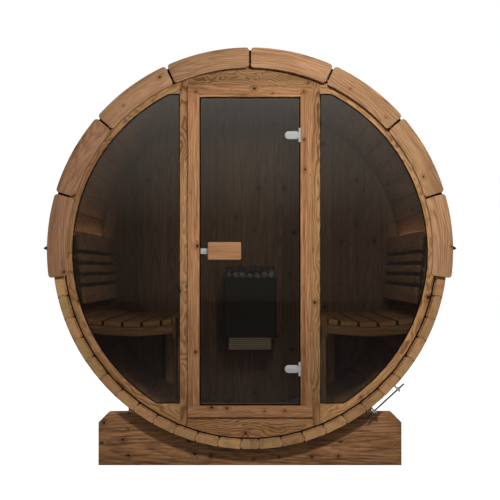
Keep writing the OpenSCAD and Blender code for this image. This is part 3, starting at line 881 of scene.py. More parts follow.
def make_wall_boards():
    """Header and base boards, the posts and the curved boards around the side windows."""
    def segment(name, material, z, sign, value, pith):
        side = math.degrees(math.acos(FRAME_HALF_W / WALL_R))
        outline = [(-FRAME_HALF_W, z), (FRAME_HALF_W, z)]
        outline += arc(WALL_R, side, 180 - side, 60, (0, 0))
        outline = outline[:2] + [(x, AXIS_Z + sign * y) for x, y in outline[2:]]
        piece = Piece(name + "_board", "end_wall_wood", [material], [name])
        solid = soften(prism(outline, *WALL_Y), BOARD_EDGE)
        piece.add_board(solid, straight("xzy"), 90, value=value, spread=0, hue=0, knots=0.35,
                        pith=pith)
        piece.finish()

    segment("wall_header", HEADER_WOOD, FRAME_Z[1], 1, 0.79, (16, 20))
    segment("wall_base", WALL_WOOD, FRAME_Z[0], -1, 1.03, (-30, 22))

    piece = Piece("wall_post_boards", "end_wall_wood", [WALL_WOOD], ["wall_posts"])
    inner = math.sqrt(WALL_R ** 2 - FRAME_HALF_W ** 2)
    outer = math.sqrt(WALL_R ** 2 - POST_X ** 2)
    outline = [(FRAME_HALF_W, AXIS_Z - inner), (POST_X, AXIS_Z - outer),
               (POST_X, AXIS_Z + outer), (FRAME_HALF_W, AXIS_Z + inner)]
    for _, side, place in SIDES:
        solid = moved(soften(prism(outline, *WALL_Y), BOARD_EDGE), place)
        piece.add_board(solid, straight("zxy"), 60, value=1.0 if side < 0 else 0.93,
                        spread=0.02, knots=0.3)
    piece.finish()

    for name, side, place in SIDES:
        piece = Piece(f"wall_ring_{name}_boards", "end_wall_wood", [WALL_WOOD],
                      [f"wall_ring_{name}"])
        for i in range(RING_PARTS):
            solid = moved(soften(prism(ring_outline(i), *WALL_Y), BOARD_EDGE), place)
            # The right ring boards are painted lighter: painted light.
            piece.add_board(solid, round_axis(AXIS_Z, RING_R), 70, spread=0.06, knots=0.25,
                            value=1.0 if side < 0 else 1.24)
        piece.finish()


def make_wall_joint_shades():
    """Black rings between the end walls and the staves, let into the staves as deep as their
    notches: painted shade along the joint."""
    for name, y in (("front_wall_seal", (WALL_Y[0] - 3, WALL_Y[0] + 1)),
                    ("rear_wall_seal", (REAR_Y[1] - 1, REAR_Y[1] + 3))):
        piece = Piece(name, "end_wall_wood", [RUBBER_AND_SHADE])
        outer = arc(WALL_R + STAVE_NOTCH + 1, 0, 360, 240, (0, AXIS_Z))[:-1]
        inner = arc(WALL_R - WALL_SHADE_W, 0, 360, 240, (0, AXIS_Z))[:-1]
        piece.add(soften(band_between(outer, inner, *y), 1.0, 2, 40))
        piece.finish()


def ring_outline(part):
    """Curved board between a window and the staves; the end ones run up to the post."""
    span = RING_SPAN / RING_PARTS
    start = part * span - RING_SPAN / 2
    end = start + span
    top = WINDOW_Z[1] - AXIS_Z
    low = WINDOW_Z[0] - AXIS_Z
    outer = [start, end]
    inner = [start, end]
    tail = []
    if part == 0:
        outer[0] = -math.degrees(math.acos(POST_X / WALL_R))
        inner[0] = math.degrees(math.asin(low / WINDOW_R))
        tail = [(POST_X, low)]
    if part == RING_PARTS - 1:
        outer[1] = math.degrees(math.acos(POST_X / WALL_R))
        inner[1] = math.degrees(math.asin(top / WINDOW_R))
        tail = [(POST_X, top)]
    points = arc(WALL_R, outer[0], outer[1], 30)
    back = list(reversed(arc(WINDOW_R, inner[0], inner[1], 30)))
    if part == RING_PARTS - 1:
        points = points + tail + back
    else:
        points = points + back + tail
    return [(x, AXIS_Z + z) for x, z in points]


def window_outline(grow, side):
    """The window's daylight outline, made larger by grow."""
    radius = WINDOW_R + grow
    x = POST_X - grow
    low, top = WINDOW_Z[0] - grow - AXIS_Z, WINDOW_Z[1] + grow - AXIS_Z
    points = [(x, low)]
    points += arc(radius, math.degrees(math.asin(low / radius)),
                  math.degrees(math.asin(top / radius)), 60)
    points.append((x, top))
    return [(side * px, AXIS_Z + pz) for px, pz in points]


def make_windows():
    """The fixed side panes, each between two rubber strips."""
    for name, side, _ in SIDES:
        node = "window_glass_" + name
        piece = Piece(node + "_pane", "tinted_glass", [GLASS], [node])
        piece.add(soften(prism(window_outline(PANE_EDGE, side), *PANE_Y), 0.8, 1))
        piece.finish()
        seal = Piece(node + "_seal", "tinted_glass", [RUBBER_AND_SHADE])
        for y in ((PANE_Y[0] - 3.5, PANE_Y[0]), (PANE_Y[1], PANE_Y[1] + 3.5)):
            strip = band_between(window_outline(-0.2, side), window_outline(-4.5, side), *y)
            seal.add(soften(strip, 0.8, 2, 40))
        seal.finish()


# ---- Door frame ----

def make_door_frame():
    """Jambs, head and sill with the strip that the door closes against, and its seal."""
    front, back = FRAME_Y, WALL_Y[1]
    low, high = OPENING_Z[0], OPENING_Z[1] + STRIP_X[1] - STRIP_X[0]
    plain = [(FRAME_HALF_W, front), (FRAME_HALF_W, back), (STOP_X, back), (STOP_X, STOP_Y),
             (STRIP_X[0], STOP_Y), (STRIP_X[0], STRIP_Y), (STRIP_X[1], STRIP_Y),
             (STRIP_X[1], front)]
    groove_x = STRIP_X[1] + SHADOW_GROOVE[0]
    groove_y = front + SHADOW_GROOVE[1]
    grooved = plain[:7] + [(STRIP_X[1], groove_y), (groove_x, groove_y), (groove_x, front)]
    for name, side, place in SIDES:
        piece = Piece(f"door_jamb_{name}_board", "frame_wood", [FRAME_WOOD],
                      [f"door_jamb_{name}"])
        outline = plain if side < 0 else grooved
        solid = moved(soften(prism(outline, low, high, "z"), BOARD_EDGE), place)
        piece.add_board(solid, straight("zxy"), 60, value=0.92, spread=0, hue=0, knots=0.45)
        piece.finish()

    w = FRAME_HALF_W
    head = Piece("door_head_boards", "frame_wood", [FRAME_WOOD], ["door_head"])
    sill = Piece("door_sill_boards", "frame_wood", [FRAME_WOOD], ["door_sill"])
    parts = (
        (head, (-w, w), (front, back), (high, FRAME_Z[1]), 0.88),
        (head, (-STRIP_X[0], STRIP_X[0]), (STRIP_Y, STOP_Y), (OPENING_Z[1], high), 0.95),
        (head, (-STOP_X, STOP_X), (STOP_Y, back), (OPENING_Z[1] - 10, high), 0.95),
        (sill, (-w, w), (front, back), (FRAME_Z[0], low), 0.95),
        (sill, (-STOP_X, STOP_X), (STOP_Y, back), (low, low + 10), 0.95),
    )
    for piece, x, y, z, value in parts:
        piece.add_board(block(x, y, z, BOARD_EDGE), straight("xzy"), 60, value=value,
                        spread=0, hue=0, knots=0.8)
    head.finish()
    sill.finish()

    seal = Piece("door_frame_seal", "frame_wood", [RUBBER_AND_SHADE])
    outlines = []
    for inset in (0.2, 8):
        x = STRIP_X[0] - inset
        z0, z1 = OPENING_Z[0] + inset, OPENING_Z[1] - inset
        outlines.append([(-x, z0), (x, z0), (x, z1), (-x, z1)])
    seal.add(soften(band_between(*outlines, STOP_Y - SEAL_T, STOP_Y + 0.2), 1.2, 2, 40))
    seal.finish()


def knuckle(half):
    """Profile of a knuckle with softened ends."""
    r, edge = KNUCKLE_R, 0.8
    return [(r - edge, -half), (r, edge - half), (r, half - edge), (r - edge, half)]


def make_hinge_posts():
    """Fixed knuckles, pins and the plates that carry them on the jamb."""
    piece = Piece("door_hinge_post_sets", "stainless_steel", [STAINLESS], ["door_hinge_posts"])
    end_h = (HINGE_H - KNUCKLE_H) / 2 - 1
    for z in HINGE_Z:
        half = HINGE_H / 2
        pin = [(2.2, -half - 0.2), (3, -half + 0.6), (3, half - 0.6), (2.2, half + 0.2)]
        piece.add(lathe(pin, 24, (HINGE_X, HINGE_Y, z), (0, 0, 1)))
        for side in (-1, 1):
            middle = z + side * (HINGE_H - end_h) / 2
            e = end_h / 2
            piece.add(lathe(knuckle(e), 32, (HINGE_X, HINGE_Y, middle), (0, 0, 1)))
            plate = block((STRIP_X[0] - 2.4, STRIP_X[0] - 0.05), (HINGE_Y + 1, STOP_Y - 7),
                          (middle - e, middle + e), 0.5, 1)
            piece.add(plate)
    piece.finish()


# ---- Door ----

def make_door():
    """The glass, the handle's steel bar and its two wooden blocks, and the hinges."""
    pane = Piece("door_glass_pane", "tinted_glass", [GLASS], ["door_glass"], "door")
    pane.add(block(GLASS_X, GLASS_Y, GLASS_Z, 1.0, 1))
    pane.finish()

    plate = Piece("door_handle_bar", "stainless_steel", [STAINLESS], ["door_handle_plate"],
                  "door")
    plate.add(block(PLATE_X, (GLASS_Y[0] - PLATE_T, GLASS_Y[0]), PLATE_Z, 0.8, 2))
    for x in (PLATE_X[0] + 10, PLATE_X[0] + 27):
        z = sum(PLATE_Z) / 2
        plate.add(screw_head((x, GLASS_Y[0] - PLATE_T - 0.1, z), (0, -1, 0), 3.6))
    plate.finish()

    faces = {"door_handle_outside": (GLASS_Y[0] - PLATE_T - HANDLE_T, GLASS_Y[0] - PLATE_T),
             "door_handle_inside": (GLASS_Y[1], GLASS_Y[1] + HANDLE_T)}
    for name, y in faces.items():
        piece = Piece(name + "_block", "handle_wood", [HANDLE_WOOD], [name], "door")
        outline = rounded_rectangle(HANDLE_X, HANDLE_Z, 7)
        solid = soften(prism(outline, *y), 3.0, 3)
        piece.add_board(solid, straight("xzy"), 90, spread=0, hue=0, knots=0, pith=(30, 22))
        piece.finish()

    make_hinge_leaves()


def rounded_rectangle(x, z, radius):
    """Points around a rectangle with rounded corners, counterclockwise."""
    points = []
    corners = (((x[1] - radius, z[1] - radius), 0), ((x[0] + radius, z[1] - radius), 90),
               ((x[0] + radius, z[0] + radius), 180), ((x[1] - radius, z[0] + radius), 270))
    for middle, start in corners:
        points += arc(radius, start, start + 90, 6, middle)
    return points


def screw_head(middle, axis, radius):
    """A low domed screw head with a socket."""
    profile = [(radius, 0), (radius, 0.5), (radius * 0.8, 1.3), (radius * 0.45, 1.6),
               (radius * 0.42, 0.7), (0.1, 0.6)]
    return lathe(profile, 20, middle, axis)


def make_hinge_leaves():
    """Plates clamped to the glass, with the knuckle that turns on the frame's pin."""
    piece = Piece("door_hinge_leaf_sets", "stainless_steel", [STAINLESS], ["door_hinge_leaves"],
                  "door")
    r = LEAF_H / 2
    for z in HINGE_Z:
        round_end = arc(r, 90, 270, 20, (LEAF_X[0] + r, z))
        outline = [(LEAF_X[1], z - r), (LEAF_X[1], z + r), *round_end]
        for y in ((GLASS_Y[0] - LEAF_T, GLASS_Y[0]), (GLASS_Y[1], GLASS_Y[1] + LEAF_T)):
            piece.add(soften(prism(outline, *y), 0.9, 2))
        arm = block((LEAF_X[1] - 1, HINGE_X - 3), (HINGE_Y - 3, GLASS_Y[0]),
                    (z - KNUCKLE_H / 2, z + KNUCKLE_H / 2), 0.9, 2)
        piece.add(arm)
        e = KNUCKLE_H / 2
        body = [(3.2, -e), *knuckle(e), (3.2, e)]
        piece.add(lathe(body, 32, (HINGE_X, HINGE_Y, z), (0, 0, 1)))
        for x in (LEAF_X[0] + 16, LEAF_X[0] + 44):
            piece.add(screw_head((x, GLASS_Y[0] - LEAF_T - 0.1, z), (0, -1, 0), 4.5))
            piece.add(screw_head((x, GLASS_Y[1] + LEAF_T + 0.1, z), (0, 1, 0), 4.5))
    piece.finish()


# ---- Rear wall ----

def make_rear_wall():
    """Upright tongue-and-groove boards, each with a shallower groove down its middle."""
    piece = Piece("rear_wall_boards", "lining_wood", [LINING_WOOD], ["rear_wall"])
    low, high = REAR_Y
    count = math.ceil(WALL_R / REAR_BOARD)
    for i in range(-count, count):
        x0, x1 = i * REAR_BOARD, (i + 1) * REAR_BOARD
        start, end = max(x0, -WALL_R + 6), min(x1, WALL_R - 6)
        if end - start < 20:
            continue
        middle = (x0 + x1) / 2
        front = [(start + 0.02, 3.5), (start + 3.5, 0)]
        if start + 8 < middle < end - 8:
            front += [(middle - 2.2, 0), (middle, 2.2), (middle + 2.2, 0)]
        front += [(end - 3.5, 0), (end - 0.02, 3.5)]
        steps = 6
        dense = []
        for (xa, da), (xb, db) in zip(front, front[1:]):
            parts = steps if xb - xa > 20 else 1
            dense += [(xa + (xb - xa) * k / parts, da + (db - da) * k / parts)
                      for k in range(parts)]
        dense.append(front[-1])
        outline = [(x, low + d) for x, d in dense] + [(x, high - d) for x, d in reversed(dense)]
        solid = prism(outline, -1, 1, "z")
        for vert in solid.verts:
            reach = math.sqrt(max(WALL_R ** 2 - vert.co.x ** 2, 0))
            vert.co.z = AXIS_Z + math.copysign(reach, vert.co.z)
        piece.add_board(solid, straight("zxy"), REAR_BOARD, spread=0.09, knots=0.38)
    piece.finish()


# ---- Roof ----

def make_roof():
    """Shingles in courses from the eaves up, with the ridge caps and the drip edges."""
    step = (90 - EAVE_ANGLE) / COURSES
    for name, side, _ in SIDES:
        piece = Piece(f"roof_shingles_{name}_tabs", "roof_shingle", [SHINGLE],
                      [f"roof_shingles_{name}"])
        for i in range(COURSES):
            add_course(piece, EAVE_ANGLE + i * step, EAVE_ANGLE + (i + 1) * step, i % 2, side)
        piece.finish(25)
    make_ridge()
    make_eaves()


def add_course(piece, low_angle, high_angle, odd, side):
    """A course of shingles: a thin full layer, and thicker tabs with slots between them."""
    low = Vector(arc(1, low_angle, low_angle, 1)[0])
    high = Vector(arc(1, high_angle, high_angle, 1)[0])

    def point(share, lift, y):
        base = low * ROOF_R * (1 - share) + high * ROOF_R * share
        out = (low * (1 - share) + high * share).normalized()
        spot = base + out * lift
        return spot.x * side, y, AXIS_Z + spot.y

    def slab(corners, lift_low, lift_high, rise, width):
        """corners are (share, y) pairs; the slab reaches from rise to its lift."""
        bottom = [point(s, rise, y) for s, y in corners]
        top = [point(s, lift_low + (lift_high - lift_low) * s, y) for s, y in corners]
        return soften(loft([bottom, top]), width, 1, 50)

    end = ROOF_Y
    layer = [(-0.015, -end), (1, -end), (1, end), (-0.015, end)]
    piece.add(slab(layer, COURSE_LOW - 5, COURSE_UP - 3, 0.2, 0.5), tone=(0.8, 0, 0))
    pitch = 2 * end / TABS
    start = -end - (pitch / 2 if odd else 0)
    pick = piece.random
    for k in range(TABS + (1 if odd else 0)):
        a = max(start + k * pitch, -end)
        b = min(start + (k + 1) * pitch, end)
        a += TAB_SLOT / 2 if a > -end else 0
        b -= TAB_SLOT / 2 if b < end else 0
        slip = pick.uniform(0, 0.012)
        corners = [(slip + 0.06, a), (0.985, a), (0.985, b), (slip + 0.06, b),
                   (slip, b - TAB_CORNER), (slip, a + TAB_CORNER)]
        lift = COURSE_LOW - pick.uniform(0, 1.2)
        tone = (pick.uniform(0.8, 1.2), 0, 0)
        piece.add(slab(corners, lift, COURSE_UP, 3.5, 0.8), tone=tone)


def make_ridge():
    """Folded caps that lap over each other along the ridge."""
    piece = Piece("ridge_caps", "roof_shingle", [SHINGLE], ["ridge_cap"])
    low = ROOF_R + COURSE_LOW + 0.5
    half = RIDGE_ANGLE
    length = 2 * ROOF_Y / RIDGE_CAPS
    for k in range(RIDGE_CAPS):
        start = -ROOF_Y + k * length
        stop = min(start + length, ROOF_Y)
        rows = []
        for y, lift in ((start, 1.4), (stop, 0.0)):
            bottom = arc(low + lift, 90 - half, 90 + half, 8, (0, AXIS_Z))
            top = arc(low + lift + 2.2, 90 - half, 90 + half, 8, (0, AXIS_Z))
            rows.append([(x, y, z) for x, z in bottom + list(reversed(top))])
        tone = (piece.random.uniform(0.85, 1.15), 0, 0)
        piece.add(soften(loft(rows), 0.5, 1, 50), tone=tone)
    piece.finish(25)


def make_eaves():
    """The kicked-out drip edge under the lowest course on each side."""
    piece = Piece("eave_drip_edges", "drip_edge", [DRIP], ["eave_strips"])
    r = ROOF_R
    outline = [(r - 3, 2), (r + 10, 2), (r + 40, 17), (r + 40, 21), (r + 12, 38), (r - 2, 38)]
    for side in (-1, 1):
        points = [(side * x, AXIS_Z + z) for x, z in outline]
        piece.add(soften(prism(points, -ROOF_Y, ROOF_Y), 1.0, 2, 20))
    piece.finish()


def rounded_sector(inner, outer, start, end, corner, steps):
    """A ring sector with four rounded corners."""
    out = math.degrees(math.asin(corner / (outer - corner)))
    into = math.degrees(math.asin(corner / (inner + corner)))

    def at(radius, angle):
        return arc(radius, angle, angle, 1)[0]

    return (arc(outer, start + out, end - out, steps)
            + arc(corner, end - out, end + 90, 6, at(outer - corner, end - out))
            + arc(corner, end + 90, end - into + 180, 6, at(inner + corner, end - into))
            + arc(inner, end - into, start + into, steps)
            + arc(corner, start + into + 180, start + 270, 6, at(inner + corner, start + into))
            + arc(corner, start + 270, start + out + 360, 6, at(outer - corner, start + out)))


def without_doubles(points):
    """The outline without points that fall on the one before."""
    kept = []
    for point in points:
        if not kept or math.dist(point, kept[-1]) > 0.05:
            kept.append(point)
    if math.dist(kept[0], kept[-1]) < 0.05:
        kept.pop()
    return kept


def make_fascia():
    """Curved boards around the upper half of each end of the barrel."""
    step = (90 - FASCIA_LOW_ANGLE) / FASCIA_BOARDS
    inner, outer = FASCIA_R
    for end_name, at_end in ENDS:
        piece = Piece(f"fascia_{end_name}_boards", "fascia_wood", [FASCIA_WOOD],
                      [f"fascia_{end_name}"])
        for _, side, at_side in SIDES:
            for i in range(FASCIA_BOARDS):
                start = FASCIA_LOW_ANGLE + i * step + (FASCIA_GAP / 2 if i else 0)
                end = FASCIA_LOW_ANGLE + (i + 1) * step - FASCIA_GAP / 2
                points = rounded_sector(inner, outer, start, end, FASCIA_CORNER, 20)
                points = without_doubles([(x, FASCIA_Z + z) for x, z in points])
                solid = moved(soften(prism(points, *FASCIA_Y), 3.5, 3, 50), at_end @ at_side)
                # The left boards get painted shade and the right ones painted light.
                value, warm = (FASCIA_LEFT_SHADED if side < 0 else FASCIA_RIGHT_LIT)[i]
                piece.add_board(solid, round_axis(FASCIA_Z, sum(FASCIA_R) / 2), 100,
                                value=value, warm=warm, spread=0.05, hue=0.004, knots=0.75)
        piece.finish(35)


# ---- Benches ----

def dish_z(x):
    """Height of the dished seat at a place across the bench."""
    return SEAT_Z + SEAT_R - math.sqrt(SEAT_R ** 2 - (x - DISH_X) ** 2)


def slat_faces(face):
    """Sawn ends, and long edges that face each other across narrow gaps, which get a dark wood as
    painted shade.
    """
    if abs(face.normal.y) > 0.9:
        return 2
    return 3 if abs(face.normal.x) > 0.9 else 0


def make_benches():
    """Dished seats of five slats, screwed to the frames below them."""
    rows = (BENCH_Y[0] + SCREW_INSET, sum(BENCH_Y) / 2, BENCH_Y[1] - SCREW_INSET)
    for name, _, place in SIDES:
        slats = Piece(f"bench_slats_{name}_boards", "bench_wood",
                      [BENCH_WOOD, ZINC, BENCH_END, BENCH_GAP_SHADE], [f"bench_slats_{name}"])
        for x, width in (FIRST_SLAT, *((x, SLAT_W) for x in SEAT_SLATS)):
            lean = math.asin((x - DISH_X) / SEAT_R)
            solid = block((-width / 2, width / 2), BENCH_Y, (-SLAT_T, 0), 4.5, 3)
            tilt = Matrix.Translation((x, 0, dish_z(x))) @ Matrix.Rotation(-lean, 4, "Y")
            slats.add_board(moved(solid, place @ tilt), straight("yxz"), width, slat_faces,
                            spread=0.1, knots=0.35)
            for y in rows:
                for u in ((-0.3, 0.3) if width > 60 else (0,)):
                    screw = screw_head((u * width, y, -1.5), (0, 0, 1), 4)
                    slats.add(moved(screw, place @ tilt), 1)
        slats.finish()
        make_bench_frame(name, place)


def on_back(p, q):
    """A point on the backrest's leaning plane: p towards the staves, q upwards."""
    c, s = math.cos(BACK_LEAN), math.sin(BACK_LEAN)
    return BACK_FOOT[0] + p * c + q * s, BACK_FOOT[1] - p * s + q * c


def make_bench_frame(name, place):
    """Skirt board, three curved bearers and the uprights under a bench."""
    frame_piece = Piece(f"bench_frame_{name}_boards", "bench_wood", [BENCH_WOOD],
                        [f"bench_frame_{name}"])
    skirt = block((BENCH_X, BENCH_X + SKIRT_T), BENCH_Y, SKIRT_Z, 4, 3)
    frame_piece.add_board(moved(skirt, place), straight("yzx"), 100, value=1.25, knots=0.5)
    top_r = SEAT_R + SLAT_T + 1
    centre = SEAT_Z + SEAT_R

    def under(radius, x):
        return centre - math.sqrt(radius ** 2 - (x - DISH_X) ** 2)

    def reach(radius):
        """Where an arc under the slats meets the staves' inner face."""
        x = 700.0
        while math.hypot(x, under(radius, x) - AXIS_Z) < INSIDE_R:
            x += 1
        return x - 1

    def curve(radius):
        start, end = BENCH_X + SKIRT_T + 0.5, reach(radius)
        xs = [start + (end - start) * i / 24 for i in range(25)]
        return [(x, under(radius, x)) for x in xs]

    outline = curve(top_r) + list(reversed(curve(top_r + BEARER_H)))
    mid = (BENCH_Y[0] + BENCH_Y[1] - BEARER_T) / 2
    for y in (BENCH_Y[0] + LEG_INSET, mid, BENCH_Y[1] - LEG_INSET - BEARER_T):
        solid = soften(prism(outline, y, y + BEARER_T), 2.5)
        frame_piece.add_board(moved(solid, place), straight("xzy"), 44, value=1.3, knots=0.3)
    under_skirt = SKIRT_Z[0] - 0.5
    under_bearer = dish_z(BACK_LEG_X[1]) - SLAT_T - BEARER_H - 3
    front, rear = BENCH_Y[0] + LEG_INSET, BENCH_Y[1] - LEG_INSET - LEG_D
    for xs, top, y, value in ((SKIRT_LEG_X, under_skirt, front, 1.25),
                              (SKIRT_LEG_X, under_skirt, rear, 1.0),
                              (BACK_LEG_X, under_bearer, rear, 1.5)):
        feet = [(x, AXIS_Z - math.sqrt(INSIDE_R ** 2 - x ** 2)) for x in xs]
        outline = [*feet, (xs[1], top), (xs[0], top)]
        solid = soften(prism(outline, y, y + LEG_D), 2.5)
        frame_piece.add_board(moved(solid, place), straight("zyx"), 70, value=value, knots=0.4)
    frame_piece.finish()


def make_backrests():
    """Five leaning slats on each side, on rails that follow the staves."""
    rails = Piece("backrest_rail_boards", "bench_wood", [BENCH_WOOD], ["backrest_rails"])
    mid = (BENCH_Y[0] + BENCH_Y[1] - RAIL_W) / 2
    rail_rows = (BENCH_Y[0] + RAIL_INSET, mid, BENCH_Y[1] - RAIL_INSET - RAIL_W)
    for name, _, place in SIDES:
        slats = Piece(f"backrest_slats_{name}_boards", "bench_wood", [BENCH_WOOD, ZINC],
                      [f"backrest_slats_{name}"])
        low = 0
        for height in BACK_HEIGHTS:
            corners = ((0, low), (BACK_T, low), (BACK_T, low + height), (0, low + height))
            solid = soften(prism([on_back(*c) for c in corners], *BENCH_Y), 4, 3)
            slats.add_board(moved(solid, place), straight("yzx"), height, spread=0.1, knots=0.35)
            for y in rail_rows:
                x, z = on_back(-0.3, low + height / 2)
                screw = screw_head((x + 1.5, y + RAIL_W / 2, z), (-1, 0, 0), 4)
                slats.add(moved(screw, place), 1)
            low += height + BACK_GAP
        slats.finish()
        outer = []
        for i in range(15):
            q = RAIL_U[0] + (RAIL_U[1] - RAIL_U[0]) * i / 14
            p = 120.0
            while math.hypot(*(Vector(on_back(p, q)) - Vector((0, AXIS_Z)))) > INSIDE_R:
                p -= 0.5
            outer.append(on_back(p, q))
        outline = [on_back(BACK_T + 0.4, RAIL_U[0]), *outer, on_back(BACK_T + 0.4, RAIL_U[1])]
        for y in rail_rows:
            solid = soften(prism(outline, y, y + RAIL_W), 1.5, 1)
            rails.add_board(moved(solid, place), straight("zxy"), 60, knots=0.2)
    rails.finish()


def make_light_strips():
    """An aluminium channel with a milky cover along the top of each backrest."""
    piece = Piece("light_strip_profiles", "light_profile", [PROFILE, GLOW], ["light_strips"])
    y = LIGHT_Y
    p0, p1 = LIGHT_P
    u0, u1 = LIGHT_U
    channel = [(p0, u0), (p1, u0), (p1, u1), (p1 - 1.4, u1), (p1 - 1.4, u0 + 1.6),
               (p0 + 1.4, u0 + 1.6), (p0 + 1.4, u1), (p0, u1)]
    cover = [(p0 + 1.6, u0 + 1.8), (p1 - 1.6, u0 + 1.8), (p1 - 1.6, u1 - 0.8),
             (p0 + 1.6, u1 - 0.8)]
    for _, _, place in SIDES:
        shell = prism([on_back(*c) for c in channel], *y)
        piece.add(moved(shell, place))
        glow = prism([on_back(*c) for c in cover], y[0] + 3, y[1] - 3)
        piece.add(moved(glow, place), 1)
        cap = [(p0, u0), (p1, u0), (p1, u1), (p0, u1)]
        for end in (y[0], y[1] - 2.5):
            plug = soften(prism([on_back(*c) for c in cap], end, end + 2.5), 0.4, 1)
            piece.add(moved(plug, place))
    piece.finish()


# ---- Heater ----

def make_heater():
    """An open casing for the stones, with the air inlet and the wall bracket."""
    piece = Piece("heater_casing_body", "heater_casing", [CASING, HEATER_DARK_AND_SHADE], ["heater_body"])
    w, t = HEATER_HALF_W, HEATER_WALL
    front, back = HEATER_Y
    low, high = HEATER_Z
    outer = rounded_plan(w, (front, back), 14)
    inner = rounded_plan(w - t, (front + t, back - t), 11)
    lip = rounded_plan(w - t - 5, (front + t + 5, back - t - 5), 7)
    levels = [(outer, low), (outer, high - 2), (rounded_plan(w - 1, (front + 1, back - 1), 13),
                                                high), (inner, high), (lip, high - 1.5),
              (lip, high - 5), (inner, high - 6), (inner, low + t)]

    def inside(face):
        """The slot of the dark inner faces, or of the outer ones."""
        x, y, _ = face.calc_center_median()
        return int(abs(x) < w - t + 0.1 and front + t - 0.1 < y < back - t + 0.1)

    piece.add(loft([[(x, y, z) for x, y in plan] for plan, z in levels]), inside)
    for z in (low + 22, high - 34):
        seam = block((-w + 10, w - 10), (front - 0.4, front + 0.2), (z, z + 1.6), 0.15, 1)
        piece.add(seam, 1)
    # Dark strips along the sides stand for the vent slots: painted shade.
    for side in (-1, 1):
        for k in range(VENTS):
            z = low + 60 + k * VENT_PITCH
            slot = block((side * w - 0.4, side * w + 0.4), (front + 60, back - 60), (z, z + 6),
                         0.15, 1)
            piece.add(slot, 1)
    piece.finish()

    base = Piece("heater_inlet_panel", "heater_steel", [INLET_STEEL, HEATER_DARK_AND_SHADE],
                 ["heater_base"])
    iw = INLET_HALF_W
    base.add(soften(prism(rounded_plan(iw, INLET_Y, 8), INLET_Z[0], INLET_Z[1] - 0.2, "z"), 1.5,
                    2, 50))
    # Dark strips across the inlet stand for its louvres: painted shade.
    for k in range(LOUVRES):
        z = INLET_Z[0] + (k + 1) * LOUVRE_PITCH
        base.add(block((-iw + 10, iw - 10), (INLET_Y[0] - 0.35, INLET_Y[0] + 0.2), (z, z + 2.2),
                       0.15, 1), 1)
    base.add(block((-BRACKET_HALF_W, BRACKET_HALF_W), (HEATER_Y[1], REAR_Y[0]), BRACKET_Z,
                   1.5), 1)
    base.finish()
    make_stones()


def rounded_plan(half_w, y, radius):
    """A rounded rectangle in X and Y."""
    return rounded_rectangle((-half_w, half_w), y, radius)


def make_stones():
    """Broken stones heaped in the casing: the front row is painted pale as painted light, and the
    darker ones behind are painted shade.
    """
    piece = Piece("heater_stone_heap", "heater_stone", [STONE], ["heater_stones"])
    pick = piece.random
    w = HEATER_HALF_W - HEATER_WALL - 6
    front, back = HEATER_Y[0] + 12, HEATER_Y[1] - 14
    top = HEATER_Z[1]
    # Height, first row, stone size and brightness of each layer; the darker layers are painted
    # shade.
    layers = ((top - 40, 0, 27, 0.7), (top - 10, 0, 26, 0.8), (top + 14, 0, 23, 1.0),
              (top + 38, 1, 22, 0.62), (top + 55, 2, 19, 0.5))
    for height, first_row, size, tone in layers:
        spacing = size * 1.72
        nx = int(2 * w / spacing)
        ny = int((back - front) / spacing)
        for i in range(nx):
            for j in range(first_row, ny):
                radius = size * pick.uniform(0.88, 1.12)
                x = (i + 0.5 - nx / 2) * 2 * w / nx + pick.uniform(-5, 5)
                y = front + (j + 0.5) * (back - front) / ny + pick.uniform(-6, 6)
                z = min(height + pick.uniform(-4, 4), STONES_TOP - radius)
                x = max(min(x, w - radius + 3), -w + radius - 3)
                y = max(min(y, back - radius), front + radius)
                tone_with_painted_light = tone * pick.uniform(0.8, 1.2)
                # The front row of the middle layer is painted pale: painted light.
                if height == top + 14 and j == 0:
                    tone_with_painted_light = pick.uniform(1.6, 2.1)
                add_stone(piece, (x, y, z), radius, tone_with_painted_light)
    piece.finish(28)


def add_stone(piece, middle, size, tone_with_painted_light):
    """One broken stone: a faceted ball cut by a few planes and roughened."""
    pick = piece.random
    solid = bmesh.new()
    bmesh.ops.create_icosphere(solid, subdivisions=3, radius=1)
    seed = Vector((pick.uniform(0, 50), pick.uniform(0, 50), pick.uniform(0, 50)))
    cuts = []
    for _ in range(9):
        normal = Vector((pick.gauss(0, 1), pick.gauss(0, 1), pick.gauss(0, 1))).normalized()
        cuts.append((normal, pick.uniform(0.62, 0.88)))
    stretch = Vector((pick.uniform(0.85, 1.1), pick.uniform(0.85, 1.1), pick.uniform(0.65, 0.9)))
    turn = Euler([pick.uniform(0, 6.28) for _ in range(3)]).to_matrix()
    for vert in solid.verts:
        p = vert.co.copy()
        for normal, depth in cuts:
            over = p.dot(normal) - depth
            if over > 0:
                p -= normal * over * 0.92
        p *= 1 + 0.07 * noise.noise(p * 2.2 + seed) + 0.02 * noise.noise(p * 9 + seed)
        p = Vector((p.x * stretch.x, p.y * stretch.y, p.z * stretch.z))
        vert.co = Vector(middle) + turn @ p * size
    piece.add(solid, tone=(tone_with_painted_light, 0, 0))


# ---- CAD nodes that keep their own mesh ----

def dress_cad_nodes():
    """The folded felt is right as the CAD has it and only gets its material."""
    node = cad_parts["verge_felt"]
    node.data.materials.clear()
    node.data.materials.append(FELT)


# ---- Stage, light and camera ----

